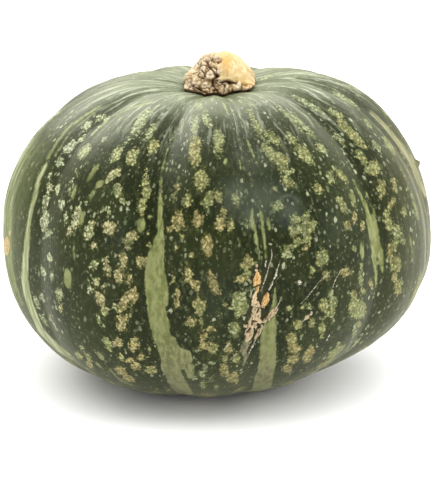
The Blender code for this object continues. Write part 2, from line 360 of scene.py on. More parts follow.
# ---------------------------------------------------------------- the marks on the skin
# Each row: where it shows in the frame (x, y), half its length and half its width there, how far its top leans right
# in degrees, its tone (0 pale green, 0.5 yellow-green, 1 tan), and how strong it is (1 where it isn't given).
BLOTCHES = """
140.6 121.6 15 4.8 36 .15; 150.8 131.1 10.8 2.7 35 .25; 127.7 140.7 4.9 2.5 42 .1; 116.4 154.6 8 4.4 30 .45
131.8 156.8 8.4 5 25 .5; 153 146.2 8 4.4 30 .5; 194.8 122.5 9 3.2 15 .2; 206.6 118.6 9.5 3.6 -18 .2
199.6 105.5 4.5 4 0 .1 .5; 194.5 148.7 15 6.3 2 .6; 69.7 146.5 8 4 50 .05; 83.6 151 9 4 38 .3
60.1 162.7 4.5 3.5 20 .1; 100.5 116.5 5.5 3 60 .05; 86.5 126 7 3.5 50 .05; 106.3 120 5 1.5 50 .05
82 138.5 4.5 2.5 50 .1; 96.8 129 7 1.5 45 .05; 104 139.6 3 2 40 .1; 182 125.3 4 .8 10 .2; 173.2 135.5 5 .8 25 .2
255 123 12.5 3.6 -25 .45; 273 137.7 10 4 -55 .4; 292 137.7 6 3 -40 .35; 304 153.9 12 5 -40 .45; 268 150.3 8 4 -45 .4
279.5 159 10 6.5 -60 .45; 284.5 170.3 8.5 3.5 -60 .35; 291.5 171.5 3 3 0 .35; 291 118 16 2.2 -47 .2; 300 122 18 2.2 -47 .2
306 127 15 2 -47 .25; 304.8 102 18 2.4 -64 .1; 320.6 148 7 3 -45 .35; 240 101 5 2 -45 .1 .7; 251.7 104.7 6 1.5 -60 .05 .7
218.7 140.5 13 5.5 -3 .35; 337 114.3 11 3.2 -55 .35; 351.5 133.3 20 4 -45 .55; 336.9 137.7 9 2.5 -45 .15
361 156 10 3.5 -40 .4; 373.5 168 7 7.5 -30 .5; 368.4 123.8 6 2.2 -42 .35; 376.5 146.5 7 2.3 -40 .15
389.7 144.3 10 4.5 -35 .5; 346 100 17 2.6 -55 .2; 341.4 175 10 3 -40 .45; 330 175 5.5 3 0 .35; 332.2 180.3 3 4 0 .35
49.7 187.2 4.2 3.5 0 .6; 58.1 188 7 2.2 15 .5; 45.9 201 7.5 3.3 15 .3; 45.1 220.9 11 3.8 5 .3; 48.2 233.9 6 2.2 45 .3
61.2 204 6.5 2.8 5 .2; 71.9 181 2.5 1.8 0 .3; 76.5 172 3 1.5 0 .3; 49 176.5 4 1.2 30 .3; 69.2 190.2 3.5 1.3 0 .3
76.5 218.6 11 4.5 12 .5; 69.6 230.4 4.5 3.5 20 .8; 66.6 217.8 5.5 1.2 0 .4; 89.5 230.8 10 3.8 15 .55; 93 245.3 4.2 3.5 0 .8
109.4 227.7 7 6 15 .75 1.3; 113.4 175 9 4 50 .5; 101.8 209 2.5 1 0 .3; 108.3 211 3.5 1.4 0 .3; 84.9 202.5 1.8 1.5 0 .3
94.1 265.2 5.5 3.5 45 .5; 107.1 268.3 8.5 3 -10 .7; 49.7 257.6 5 2.4 -10 .2; 43.6 272.1 5.5 2 -15 .1; 52 276.7 4.5 2 -5 .1
117.6 192 7 4.5 8 .35; 122 201 5 3.5 8 .35; 144.8 181.8 7.5 3 8 .45; 146.3 192.5 6.5 4 5 .5; 141.7 206.3 7.5 4 5 .5
131 238.5 9 5 20 .65; 123 258.3 9.5 4 -5 .75; 141.7 261.4 5.5 5 0 .75; 118.8 275.2 8 4.5 -10 .8; 129.5 279 6.5 3.5 0 .85
199.9 179.5 12.5 5.5 5 .55; 206.8 179.5 4 3 0 .5; 176.5 186.4 3.8 3 0 .7; 187.6 199.4 7 5 10 .5; 208.3 200.2 7.5 6 20 .35
218.2 196.5 6 4.5 0 .65; 177.7 217.8 6.5 5.5 0 .9; 171.6 227.7 4 2.5 15 .8; 177 226.2 4 2.5 0 .6; 183.8 225.8 2.8 1.8 -10 .7
197.2 218.6 8 5.5 -5 .85; 207.1 245.3 11 5 -3 .85; 188 274.4 8.5 4.5 -15 .75; 195.5 286 6 4.5 -20 .85; 214 284.5 11 4 -20 .85
175.8 248.4 2.5 2.2 0 .6; 191.8 254.1 3 2.4 0 .6; 188 262.2 2.5 2.2 0 .6; 183 235.4 2 2 0 .5; 150 244.6 2.2 2 0 .5
148.6 233.9 1.8 1.8 0 .4; 150.9 217 1.8 1.8 0 .4; 173.1 196.4 3.5 1.1 0 .3; 204.5 265.2 3 2 0 .4 .6; 173 279.8 3.5 1.8 0 .5
235.3 198.7 6.5 3.5 0 .4; 223.4 210.1 4 3.8 0 .75; 220.4 224.7 9.5 4.5 0 .75; 231.1 227 6.5 3 5 .65; 247 224.7 5 2 0 .2 .6
277.7 206.3 4.5 5.5 0 .35; 273.9 189.5 2 2.5 0 .5; 287 181 7 4 -40 .5; 318.3 188 6 3.5 -30 .55
296 220 6 4.5 -30 .4; 305.5 218.5 5.5 5 0 .35; 311.5 228 7 4 10 .45; 301 229.5 6 6.5 0 .3; 292.5 232 5 4 0 .4; 307 238.5 5.5 5 30 .45; 298 241 5 5 0 .4; 287.7 251.5 8 6 0 .3 .7; 291 247 4 3 0 .35; 283.5 255 4 3.5 0 .3 .8; 306 247.6 2.5 3 0 .8; 322.1 258.3 9.5 6 15 .4; 312.2 271.3 4.5 3 0 .4
325.2 276 4 3 30 .6 1.3; 247.1 262.9 7 6 15 .65; 247.9 271.4 4.5 3 0 .45; 242.5 279 3.5 7 0 .65; 299.2 282.8 2.2 2.2 0 0
342.2 204.8 9.5 3.5 -25 .45; 352.9 197.9 9 3 -15 .35; 355.2 217.8 6 3 -10 .75; 347.5 225.4 4 3 0 .7; 363.6 226.2 5 2 -10 .7
382 188.7 8.5 4 0 .6; 394.2 183.4 7.5 2 -12 .7; 391.9 203.3 5.5 3 20 .75; 388.1 221.6 11.5 4 -8 .5; 404.2 211.7 4 2.5 0 .5
398 231.6 6 4.5 0 .35; 395.7 243 7 2.5 0 .3; 403.4 240 5 2 0 .3; 390.4 250.7 7 2.5 0 .75; 397.3 263.7 8.5 3.5 0 .55
391.9 266.8 5 2 0 .55; 395 277.5 5 3 0 .65; 401 281 3.5 2 0 .3; 361 266.8 3 1.5 0 .5; 345.2 272 3 5 0 .7 1.3
353.6 248.4 2 1.8 0 .3; 359.8 274.4 3.5 2 0 .5; 371 283 5 2.5 0 .75; 360.6 279.8 6 2.5 0 .3; 363 291 3 2.5 0 .5
353.5 294 3 2.5 0 .55; 397.7 287 8 3.5 0 .6; 411.8 195.6 1.5 1.5 0 .2; 406.5 188.7 1.5 1.5 0 .2; 405 175.7 1.5 1.5 0 .2
401.1 168.8 1.5 1.5 0 .2; 59 294 6.5 3 -5 .4; 61 307.7 4 2.2 -5 .7; 49.9 318 3.5 2 0 .8; 55 326.8 6 1.5 -25 .1
42.3 296.5 6.5 1.8 -30 .1; 36.7 302.9 7 2.2 -25 .1; 43.9 319.6 7 2 -30 .1; 89.3 288.5 5 1.8 0 .2; 96.5 282.2 5.5 3.2 -10 .6
102 287 2 2 0 .5; 99.7 298.1 8.5 4.5 -25 .8; 104.5 310.9 5 4.5 0 .5; 98.9 319.6 4 2 -20 .3; 114.8 306.5 2.5 2.5 0 .2
123.6 302.9 10 5 25 .8; 121.6 322.8 9.5 5 0 .8; 133.4 295.5 7 4.3 10 .85; 131.4 309.3 3.5 1 0 .6; 126.6 315.6 3 1.5 0 .6
108.4 344.3 7.5 3 -30 .45; 118 343.5 4.5 4 0 .8; 133.8 344.3 6.5 4.5 0 .75; 122 357 3.5 3.5 0 .5; 130 360.3 4 3.5 0 .9
120.4 370.6 6 4 -55 .7; 128.5 377.8 7 3 -65 .8; 88.5 357 5.5 1.8 -40 .5; 79 355.5 4.5 3 -45 .4; 89.3 364.2 5 3 -50 .85
98 364 6 1.2 -50 .3; 81.4 347.5 4.5 1 -35 .2; 141.7 357 3.5 3.5 0 .8; 135.4 365.8 4 5 0 .9; 150.5 369.8 4 6 0 .6
149.7 348.3 3 1.2 0 .6; 156.9 389 2.5 1.6 60 .3; 168.8 389.7 2.5 1.6 80 .3
177.6 295.6 6 3 3 .7; 176.6 303.6 5 2.6 3 .7; 199.9 306 9 6 0 .65; 202.3 324.4 5 1.5 0 .6; 191.1 322 4.5 5 0 .65
211 329.2 3 5 0 .75; 203.9 336.4 6 3.5 0 .85; 204.7 345.9 4 5 0 .85; 213.4 348.3 5.5 5 0 .6; 225.4 305.3 3 2 0 .8
221.4 315.6 2 2 0 0; 228.6 349 5.5 4 0 .75; 224.6 358.7 5.5 3 0 .5; 224.6 370.6 6 4.5 0 .8; 229.4 377.8 5 4 0 .7
236.4 358.5 5.5 4 0 .45; 234 378.6 6 4 0 .8; 239.6 304 12 7.5 0 .3 1.2; 234.8 329.2 9 6 0 .25 .8; 198.3 362.7 2 2 0 .1
211.9 362.7 2 2 0 .1; 206 368 2 2 0 .1; 195.9 350.7 2.5 2.5 0 .1; 201.5 373.8 3.3 3 0 .2; 203.1 385 4 2.5 0 .4
191 377 2 2 0 .1; 194.7 377.8 1.6 2 0 .1; 210.3 379.4 2 2 0 .3; 216.6 387.4 3 1.8 0 .3
297.7 324.4 5 5 0 .5; 292.2 338.7 5.5 6 0 .65; 294.5 349 5 7 0 .8; 293 359.5 5 5.5 0 .7; 287.4 369 4 4.5 0 .75
308.9 354.7 9 5 25 .75; 311.3 322 5 3 0 .5; 324.8 306.9 8.5 4 -10 .45; 332.8 306 15 3.8 0 .3 .8; 322.4 328.4 8 3.5 0 .45
336 351.5 10 4 55 .4; 324 363.4 8 2.5 60 .7; 303.3 306.9 3 1.5 0 .5; 309.7 306.9 3 3 0 .15; 289 308.5 2 2 0 .4
358.2 310 10 9 0 .4; 355 301.3 5 4 0 .4; 354.3 331.6 7 2 10 .2; 337.5 348.3 6 2.5 20 .3; 333.5 353.9 6 3.5 45 .3
355.9 342.7 13 1.2 40 .1; 349.5 344.3 7 1.2 25 .1
"""

# Smooth solid pale green patches: x, y, half length, half width, lean.
PATCHES = """
141.3 225.4 8 4.5 0; 67.5 278.5 10.5 4 -5; 81.9 217.8 8 2.5 5; 73.5 192.5 7.7 2 15; 99.5 184 5 3.6 45; 103.5 190 4 1.2 10
91.8 194.8 7 2 25; 74.2 250.7 9 1.1 -5; 362 250.7 9 2.2 -3; 359 324.4 3.5 3 0; 100.5 356.3 6 2.5 -40; 225.3 162 3.5 2 0
93 172 12 2.2 32; 350 129 2.5 2 0
"""

# Thin stripes and lines: x, y and half the width at each point.
LINES = [
    [(12.5, 196, 0.8), (9.5, 215, 1.8), (8.5, 240, 2.4), (10, 262, 2.2), (15, 284, 1.6), (22, 305, 1.0)],
    [(101, 105, 0.9), (89.5, 112.5, 1.2), (70, 125, 1.3), (56, 143, 1.4), (47.7, 159, 1.6)],
    [(96, 112, 0.7), (82, 121, 0.9), (66, 138, 0.9), (55, 156, 1.0)],
    [
        (46, 165, 1.8), (38.5, 180, 2.0), (34.2, 199, 2.0), (30.5, 212, 1.9), (28.2, 226, 2.1), (26.6, 243, 2.7),
        (25.0, 261, 3.1), (24.3, 279, 3.6), (26.2, 293, 3.6), (31.2, 308.5, 3.2), (40.7, 330.8, 3.2),
        (58.2, 348.3, 3.0), (71.8, 358.7, 2.4),
    ],
    [(110, 369, 1.2), (119.6, 379.4, 1.2), (131.6, 385, 1.2)],
    [(168, 148, 0.6), (165.5, 157, 0.9), (163.2, 165, 1.2)],
    [(223, 104, 1.0), (228.9, 114.3, 1.0)],
    [(247.3, 140, 1.0), (258.3, 166.3, 1.0)],
    [(239.2, 159.7, 0.9), (240.7, 170, 0.9)],
    [
        (252.5, 207.8, 0.6), (251.7, 220, 2.4), (255.5, 232, 1.8), (256.3, 241.5, 2.1), (259, 250.7, 1.1),
        (259.4, 259, 1.1),
    ],
    [
        (260.1, 208.6, 0.8), (261.7, 217, 2.2), (262.4, 226, 1.7), (264, 234, 1.7), (264.7, 243, 1.5),
        (265.9, 251.5, 1.2), (265.9, 258.3, 1.1),
    ],
    [(267.8, 218.6, 1.6), (270, 229.3, 1.6)],
    [(352.9, 178, 0.8), (357.5, 188, 0.9), (361.3, 195.6, 1.1), (365.1, 203.3, 1.8), (368.4, 214, 2.2)],
    [(365.9, 191.8, 0.8), (370.5, 201.7, 0.8), (373.6, 209.4, 1.1), (374.4, 218, 1.6)],
    [
        (371, 113, 1.2), (386, 127, 1.8), (399, 142, 2.2), (411.7, 161, 2.4), (416.8, 174.4, 2.4), (420, 182.6, 2.2),
        (427, 195.6, 1.8),
    ],
    [(413.3, 201.7, 1.4), (418.7, 218.6, 1.4)],
    [(410.3, 236.2, 1.1), (412.6, 256.8, 1.1)],
    [(108, 120, 0.8), (100, 127, 0.9)],
    [(152, 101.8, 0.9), (128, 109, 0.9), (112, 115, 0.8)],
    [(121, 117, 1.0), (116.5, 126, 1.0)],
]

# Wide stripes: y, left x, right x. The edges are joined by straight lines.
BANDS = [
    [
        (163, 161.8, 164.6), (173, 160.3, 162.9), (183, 159, 162), (192, 159.3, 160.9), (201, 157.8, 163),
        (215, 157.5, 162.5), (225, 157, 163.6), (232, 157.8, 163.8), (238, 154, 164.3), (246, 152.8, 164.3),
        (254, 147.5, 164.3), (263, 146.3, 164.3), (272, 144.4, 164.7), (281, 144, 167), (285, 144.9, 168),
        (295, 145.3, 168.8), (304.5, 146.9, 168.4), (307, 147.2, 165.6), (315, 147.7, 167.2), (326, 149.7, 169.6),
        (335.6, 152.5, 170.8), (338, 153.3, 176), (343, 154.9, 177.6), (348, 156.9, 180), (350, 157.7, 190),
        (355, 159.3, 191.9), (360, 160.9, 193.5), (366, 161, 188), (370.6, 161.3, 180.8), (377, 166.4, 184),
        (382.6, 167.2, 187), (389, 174.4, 191), (398, 180, 196),
    ],
    [(364, 186, 194.5), (371, 184.8, 195), (378, 188, 193.5)],
    [
        (288, 274.4, 275.4), (292, 273.6, 276.0), (298, 273.0, 276.4), (304, 272.4, 276.6), (310, 270.4, 276.4), (320, 265, 276.6), (331, 261.9, 277), (339, 260.3, 276.2),
        (351, 259.9, 276.2), (363, 258.7, 276.2), (371, 257.5, 275), (379, 254, 273), (387, 253, 271.4), (396, 251, 270),
    ],
    [
        (214, 366.2, 374), (221.6, 366.7, 376.6), (231.6, 367.8, 378.9), (241.5, 369.7, 380.4), (250.7, 370.9, 382.7),
        (256, 371.2, 383),
    ],
    [(250, 371, 376.6), (256.8, 371.3, 376.6), (268, 373.6, 377.4), (280, 374.7, 377.4), (289, 375.4, 377)],
    [(250, 377.4, 383), (260.6, 378, 383.5), (267.5, 379.7, 383.9), (273, 381.4, 383.4)],
]

# The scar beside the middle stripe, as lines of (x, y, half width). SCAB is orange, TIP cream, RIDGE corky tan, GREY a
# grey-green tongue below it, SHADE a painted shadow that darkens the skin round and under it all.
SCAB = [
    [(257.3, 271.5, 1.0), (257.8, 276.5, 3.2), (257.0, 281.5, 4.0), (255.6, 286.0, 2.2)],
    [(258.2, 285.5, 1.2), (257.2, 291.0, 1.6)],
    [(267.2, 294.0, 1.8), (266.2, 299.0, 3.5), (264.2, 303.5, 2.8)],
]
TIP = [
    [(256.8, 264.8, 1.1), (257.0, 266.5, 1.1)],
    [(256.4, 270.2, 1.7), (257.2, 270.4, 1.2)],
    [(257.0, 291.0, 1.7), (255.0, 297.0, 2.6), (253.4, 301.5, 2.4), (252.4, 305.0, 1.2)],
]
RIDGE = [
    [(256.5, 303.0, 2.2), (256.5, 310.0, 4.2), (255.5, 318.0, 4.6), (252.0, 326.0, 4.8), (249.3, 333.0, 4.2), (247.5, 339.0, 2.6)],
    [(255.0, 321.0, 2.5), (262.0, 321.0, 2.0), (268.0, 318.0, 1.9), (273.0, 312.5, 2.8), (276.3, 309.3, 2.2)],
    [(249.0, 325.5, 2.0), (244.5, 325.8, 1.0)],
    [(259.0, 305.5, 1.2), (263.5, 306.5, 1.0)],
    [(261.3, 326.5, 1.7), (258.3, 333.0, 1.8), (255.5, 338.0, 1.2)],
    [(311.4, 312.9, 1.2), (305.5, 318.6, 1.1)],
]
GREY = [[(247.0, 339.0, 2.4), (244.8, 346.0, 3.2), (243.2, 351.0, 3.2), (245.5, 357.0, 1.8), (243.0, 366.0, 1.0)]]
SHADE = [
    [(273.0, 254.0, 2.0), (271.0, 268.0, 4.0), (267.0, 282.0, 5.0), (262.0, 296.0, 4.5), (260.0, 304.0, 3.0)],
    [(252.0, 268.0, 1.6), (252.2, 284.0, 1.4), (252.0, 296.0, 1.2), (249.8, 316.0, 1.4)],
    [(261.0, 272.0, 1.2), (262.0, 284.0, 1.6)],
    [(271.0, 306.0, 1.0), (268.0, 313.5, 1.4), (262.0, 318.0, 1.6)],
    [(266.0, 320.8, 1.2), (272.5, 317.2, 1.2), (278.0, 311.5, 0.9)],
    [(246.0, 329.0, 1.3), (243.5, 336.0, 1.0)],
    [(253.0, 341.0, 2.4), (249.0, 350.0, 2.0)],
    [(323.0, 279.5, 0.8), (309.0, 297.0, 0.8)],
]
# Torn cracks, painted dark as shade inside them, then fine dry fibres.
CRACKS = [
    [(254.2, 328.3, 0.9), (254.1, 333.8, 1.2)],
    [(257.3, 323.5, 1.2), (259.2, 326.0, 1.3)],
    [(251.0, 323.6, 0.9), (252.3, 320.6, 0.7), (255.6, 320.6, 0.5)],
    [(249.6, 327.6, 0.7), (246.5, 331.5, 0.7)],
    [(256.3, 311.6, 0.5), (258.6, 307.6, 0.6)],
    [(263.6, 309.5, 1.5), (264.4, 316.0, 1.3), (262.0, 319.6, 0.9)],
    [(254.0, 287.6, 0.8), (258.3, 284.6, 0.6)],
    [(257.0, 296.5, 0.7), (257.8, 292.5, 0.6)],
    [(261.0, 296.5, 0.8), (266.2, 292.3, 0.7)],
    [(259.6, 289.5, 0.6), (261.6, 285.5, 0.5)],
    [(249.6, 340.8, 0.6), (251.2, 337.6, 0.6)],
    [(252.6, 342.5, 0.7), (253.6, 338.0, 0.6)],
]
FIBRES = [
    [
        (271.2, 249.0, 0.5), (271.9, 256.0, 0.45), (268.2, 269.5, 0.6), (266.4, 276.0, 0.9), (263.0, 285.5, 0.5),
        (261.1, 290.5, 0.8),
    ],
    [
        (279.8, 261.5, 0.35), (277.0, 270.5, 0.5), (276.0, 275.3, 1.3), (273.3, 280.3, 0.6), (271.8, 284.8, 1.1),
        (268.8, 290.5, 0.7),
    ],
    [(266.0, 260.5, 0.8), (265.3, 266.3, 0.8)],
    [(251.4, 292.5, 0.7), (250.6, 295.0, 0.6)],
    [(261.6, 325.0, 0.8), (257.4, 335.5, 0.6), (254.6, 341.0, 0.5), (252.4, 346.5, 0.9), (247.9, 355.0, 0.4)],
    [(251.3, 339.5, 0.4), (248.2, 346.5, 0.4)],
    [(281.2, 297.0, 0.4), (279.2, 302.3, 0.6), (277.0, 306.5, 0.6)],
    [(228.8, 343.4, 0.5), (224.2, 349.4, 0.4)],
    [(236.0, 354.0, 0.5), (230.6, 359.4, 0.4)],
    [(332.0, 269.8, 0.25), (320.0, 280.8, 0.35), (306.8, 297.6, 0.4), (300.5, 304.0, 0.25)],
    [(341.4, 269.2, 0.25), (334.4, 281.8, 0.5), (332.9, 287.2, 0.35)],
    [(311.6, 312.6, 0.9), (302.8, 321.4, 0.5)],
    [(329.4, 334.8, 0.5), (326.4, 340.8, 0.4)],
    [(299.4, 282.2, 1.9), (299.7, 283.2, 1.9)],
]
# Bluish-grey patches, partly wax bloom and partly painted reflections of the soft lamps: x, y, half length, half width,
# lean, strength.
BLOOM_AND_REFLECTION = """
236 196 19 15 0 .9; 289 212 15 14 0 .9; 264 200 22 24 0 .85; 250 214 12 12 0 .9; 258 160 20 26 0 .45; 250 125 18 16 0 .35; 336 226 26 17 0 .3; 120 236 22 14 0 .25
175 168 20 13 0 .25; 215 300 26 16 0 .2
"""
RING = (288.5, 203.5, 9.5, 7.0)
BLUE_SPOT = "284 222 5.5 4.5 0; 292 201 4 4 0"
CORKY = "6.9 246 9.5 4.2 0; 9.5 233 3 1.6 0"
WART = (418.6, 162.7)


def numbers(text):
    """Rows of numbers, from text with a row to each line or semicolon."""
    return [[float(v) for v in row.split()] for line in text.splitlines() for row in line.split(";") if row.strip()]


def axes(x, y, long, wide, lean):
    """A mark's place and normal, and its two half axes as steps along the skin."""
    point, normal = cast(x, y)
    t = math.radians(lean)
    a = on_plane(x + long * math.sin(t), y - long * math.cos(t), point, normal, 2.6 * long * UNIT)
    b = on_plane(x + wide * math.cos(t), y + wide * math.sin(t), point, normal, 2.6 * wide * UNIT)
    return point, normal, a, b


def ellipse(point, normal, a, b):
    """The vertices near a mark, and how far each is out from its middle, as a share of the mark."""
    reach = 2.6 * max(np.linalg.norm(a), np.linalg.norm(b)) + 0.004
    step = BASE - point
    near = np.nonzero((np.abs(step).max(1) < reach) & ((NORMAL * normal).sum(1) > 0.2))[0]
    e1 = a / (np.linalg.norm(a) + 1e-12)
    e2 = np.cross(normal, e1)
    e2 /= np.linalg.norm(e2)
    matrix = np.array([[a @ e1, b @ e1], [a @ e2, b @ e2]])
    if abs(np.linalg.det(matrix)) < 1e-9:
        matrix = np.array([[np.linalg.norm(a), 0], [0, np.linalg.norm(b)]])
    inverse = np.linalg.inv(matrix)
    flat = np.stack([step[near] @ e1, step[near] @ e2], 1) @ inverse.T
    return near, np.hypot(flat[:, 0], flat[:, 1])


COUNT = len(BASE)
NONE = -3.0  # of a field in millimetres: no mark near


def lay(field, marks, most=3.0):
    """Adds marks to a field: about the distance in from each mark's edge, in millimetres."""
    for row in marks:
        point, normal, a, b = axes(*row)
        near, q = ellipse(point, normal, a, b)
        w = max(1000 * min(np.linalg.norm(a), np.linalg.norm(b)), 0.55)
        field[near] = np.maximum(field[near], np.clip((1 - q) * w, NONE, most))


# where every vertex shows in the frame
step = BASE - EYE
depth = -(step @ BACK)
SEEN_X = FRAME_W / 2 + FOCAL * (step @ RIGHT) / depth
SEEN_Y = FRAME_H / 2 - FOCAL * (step @ UP) / depth
SEEN = FACING > 0.10


def line_field(points):
    """The distance in from the edge of a line drawn in the frame, in millimetres on the skin."""
    best = np.full(COUNT, NONE)
    use = np.nonzero(SEEN)[0]
    px, py = SEEN_X[use], SEEN_Y[use]
    for (x0, y0, w0), (x1, y1, w1) in zip(points, points[1:]):
        dx, dy = x1 - x0, y1 - y0
        t = np.clip(((px - x0) * dx + (py - y0) * dy) / (dx * dx + dy * dy), 0, 1)
        far = np.hypot(px - x0 - t * dx, py - y0 - t * dy)
        best[use] = np.maximum(best[use], (w0 + (w1 - w0) * t - far) * UNIT * 1000)
    return best


def band_field(rows_of):
    best = np.full(COUNT, NONE)
    use = np.nonzero(SEEN)[0]
    px, py = SEEN_X[use], SEEN_Y[use]
    ys = [r[0] for r in rows_of]
    left, right = np.interp(py, ys, [r[1] for r in rows_of]), np.interp(py, ys, [r[2] for r in rows_of])
    inside = np.minimum(px - left, right - px)
    inside = np.minimum(inside, np.minimum(py - ys[0], ys[-1] - py) * 0.6 + 0.5)
    best[use] = np.maximum(inside * UNIT * 1000, NONE)
    return best


blotch, tone_sum, tone_weight = np.full(COUNT, NONE), np.zeros(COUNT), np.full(COUNT, 1e-6)


def add_blotch(point, normal, a, b, tone, strength=1.0):
    near, q = ellipse(point, normal, a, b)
    w = 1000 * min(np.linalg.norm(a), np.linalg.norm(b))
    f = (1 - q) * max(w, 0.6) + (strength - 1) * 1.2
    blotch[near] = np.maximum(blotch[near], np.clip(f, NONE, 1.6))
    weight = np.exp(np.clip(f, -3, 1.5) * 2.2)
    tone_sum[near] += weight * tone
    tone_weight[near] += weight


for row in numbers(BLOTCHES):
    add_blotch(*axes(*row[:5]), row[5], row[6] if len(row) > 6 else 1.0)

# The sides that the camera doesn't see get marks of the same kinds, strewn along the meridians.
rng = np.random.RandomState(20)
LON_RAD = np.radians(GRID_LON)
ACROSS = np.stack([np.cos(LON_RAD), np.sin(LON_RAD), np.zeros(COUNT)], 1)
ALONG = np.cross(NORMAL, ACROSS)
lon_step = np.gradient(np.unwrap(np.radians(LON)))
row_step = np.gradient(np.interp(PHI, PHI_T, S_T))
area = np.concatenate([(np.repeat(row_step, COLUMNS) * np.tile(np.abs(lon_step), ROWS) * GRID_R[:-2]), [0, 0]])
unseen = (FACING < 0.16) & (GRID_R > 0.016)
chance = np.where(unseen, area, 0.0)
# fewer blotches in the grooves, near the stem and below
chance *= 0.25 + 0.75 * lobe_height(GRID_LON)[0]
chance *= smooth((GRID_R - 0.02) / 0.04) * (0.35 + 0.65 * smooth((GRID_S + 0.115) / 0.04))
chance /= chance.sum()
for i in rng.choice(COUNT, 560, False, chance):
    size = rng.lognormal(0.0, 0.42)
    long = 0.0031 * size * (1.25 if GRID_S[i] > 0.03 else 1.0)
    wide = long * rng.uniform(0.34, 0.75)
    turn = rng.normal(0, 0.16)
    top = math.cos(turn) * ALONG[i] + math.sin(turn) * ACROSS[i]
    side = np.cross(top, NORMAL[i])
    tone = np.clip(0.5 - 4.2 * GRID_S[i] + rng.normal(0, 0.17), 0.02, 0.95)
    strength = 1.0 if rng.uniform() > 0.2 else 0.6
    add_blotch(BASE[i], NORMAL[i], top * long, side * wide, tone, strength)
    if size > 1.1 and rng.uniform() < 0.5:
        # a second, smaller mark grown into it
        moved = BASE[i] + top * long * rng.uniform(-0.9, 0.9) + side * wide * rng.uniform(-1.1, 1.1)
        add_blotch(moved, NORMAL[i], top * long * 0.5, side * wide * 0.7, tone, strength)
TONE = tone_sum / tone_weight

stripe = np.full(COUNT, NONE)
for points in LINES:
    stripe = np.maximum(stripe, line_field(points))
for rows_of in BANDS:
    stripe = np.maximum(stripe, band_field(rows_of))
lay(stripe, numbers(PATCHES))


def meridian(lon0, start, end, width, seed, limit=0.17):
    """A stripe of that half width in millimetres along a meridian, from start to end along the outline, wavering."""
    at = np.stack([np.zeros(COUNT), np.full(COUNT, seed * 1.7), GRID_S], 1)
    sway = 1.1 * perlin(at, 0.045, 50 + seed) + 0.5 * perlin(at, 0.016, 90 + seed)
    size = width * (1 + 0.9 * perlin(at, 0.030, 130 + seed)) + 0.5 * perlin(at, 0.008, 170 + seed)
    ends = np.minimum(GRID_S - start, end - GRID_S) * 1000
    size = np.minimum(size, ends * 0.16)
    off = (GRID_LON - lon0 + 180.0) % 360.0 - 180.0
    off = np.abs(np.radians(off) * GRID_R * 1000 + sway)
    f = np.clip(size - off, NONE, 3.0)
    return np.where(FACING < limit, f, NONE)


def place_of(x, y):
    point, _ = cast(x, y)
    i = np.argmin(((BASE - point) ** 2).sum(1))
    return GRID_LON[i], GRID_S[i]


for lon0, start, end, width, seed in (
    (82.0, -0.088, 0.075, 1.6, 1),
    (112.0, -0.100, 0.098, 2.6, 2),
    (119.0, -0.020, 0.060, 0.9, 3),
    (147.5, -0.105, 0.102, 3.6, 4),
    (171.0, -0.060, 0.040, 1.1, 5),
    (186.0, -0.108, 0.105, 4.2, 6),
    (204.0, -0.075, 0.070, 1.2, 7),
    (222.5, -0.106, 0.104, 3.4, 8),
    (243.0, -0.045, 0.060, 1.0, 9),
    (262.0, -0.108, 0.100, 3.0, 10),
    (288.0, -0.090, 0.050, 1.3, 11),
    (48.0, -0.122, -0.060, 2.2, 12),
    (27.0, -0.118, -0.085, 1.3, 13),
    (-34.0, -0.116, -0.085, 1.2, 14),
):
    stripe = np.maximum(stripe, meridian(lon0, start, end, width, seed))
for x, y, width, seed in ((178.5, 388, 4.2, 20), (262, 388, 4.0, 21), (71.8, 358.7, 1.6, 22)):
    lon0, s0 = place_of(x, y)
    stripe = np.maximum(stripe, meridian(lon0, -0.128, s0 + 0.02, width, seed, 0.22))

grey_cork, shade, corky = (np.full(COUNT, NONE) for _ in range(3))
# the shade field is painted shadow on the skin round and under the scar
for field, lines in ((grey_cork, GREY), (shade, SHADE + CRACKS + SCAB + TIP + RIDGE)):
    for points in lines:
        np.maximum(field, line_field(points), out=field)
lay(corky, numbers(CORKY))

bloom_and_reflection, spot = np.zeros(COUNT), np.zeros(COUNT)
for row in numbers(BLOOM_AND_REFLECTION):
    near, q = ellipse(*axes(*row[:5]))
    bloom_and_reflection[near] = np.maximum(bloom_and_reflection[near], row[5] * np.exp(-1.1 * q**2))
for row in numbers(BLUE_SPOT):
    near, q = ellipse(*axes(*row[:5]))
    spot[near] = np.maximum(spot[near], np.exp(-1.3 * q**2))
# painted reflection: a pale bluish arc round a dent, added to the bloom and reflection field
ring_far = np.hypot(SEEN_X - RING[0], (SEEN_Y - RING[1]) * 1.25)
arc = np.exp(-(((ring_far - RING[2]) / 2.0) ** 2)) * smooth((RING[1] + 2.0 - SEEN_Y) / 6.0) * (FACING > 0.3)

GROW = np.stack([RADIUS * np.sin(LON_RAD), -RADIUS * np.cos(LON_RAD), GRID_S], 1)

# Blotches are duller towards the right. Painted sheen: blotches on the upper left are mixed towards pale whitish green,
# and the left limb and its stripe are paler.
gain = np.interp(BASE[:, 0], [-0.060, -0.040, -0.020, -0.006, 0.035], [1.08, 0.98, 0.87, 0.78, 0.76])
painted_sheen_left = np.interp(BASE[:, 0], [-0.085, -0.030], [0.70, 0.0]) * smooth((GRID_S + 0.04) / 0.05)
limb_off = (GRID_LON + 80.0 + 180.0) % 360.0 - 180.0
limb_streak = smooth((perlin(GROW * (1.0, 1.0, 0.10), 0.0040, 71) + 0.30) / 0.55)
limb_zone = smooth((GRID_S + 0.085) / 0.03) * smooth((0.065 - GRID_S) / 0.03)
leaf = 0.75 * np.exp(-((limb_off / 15.0) ** 2)) * limb_zone
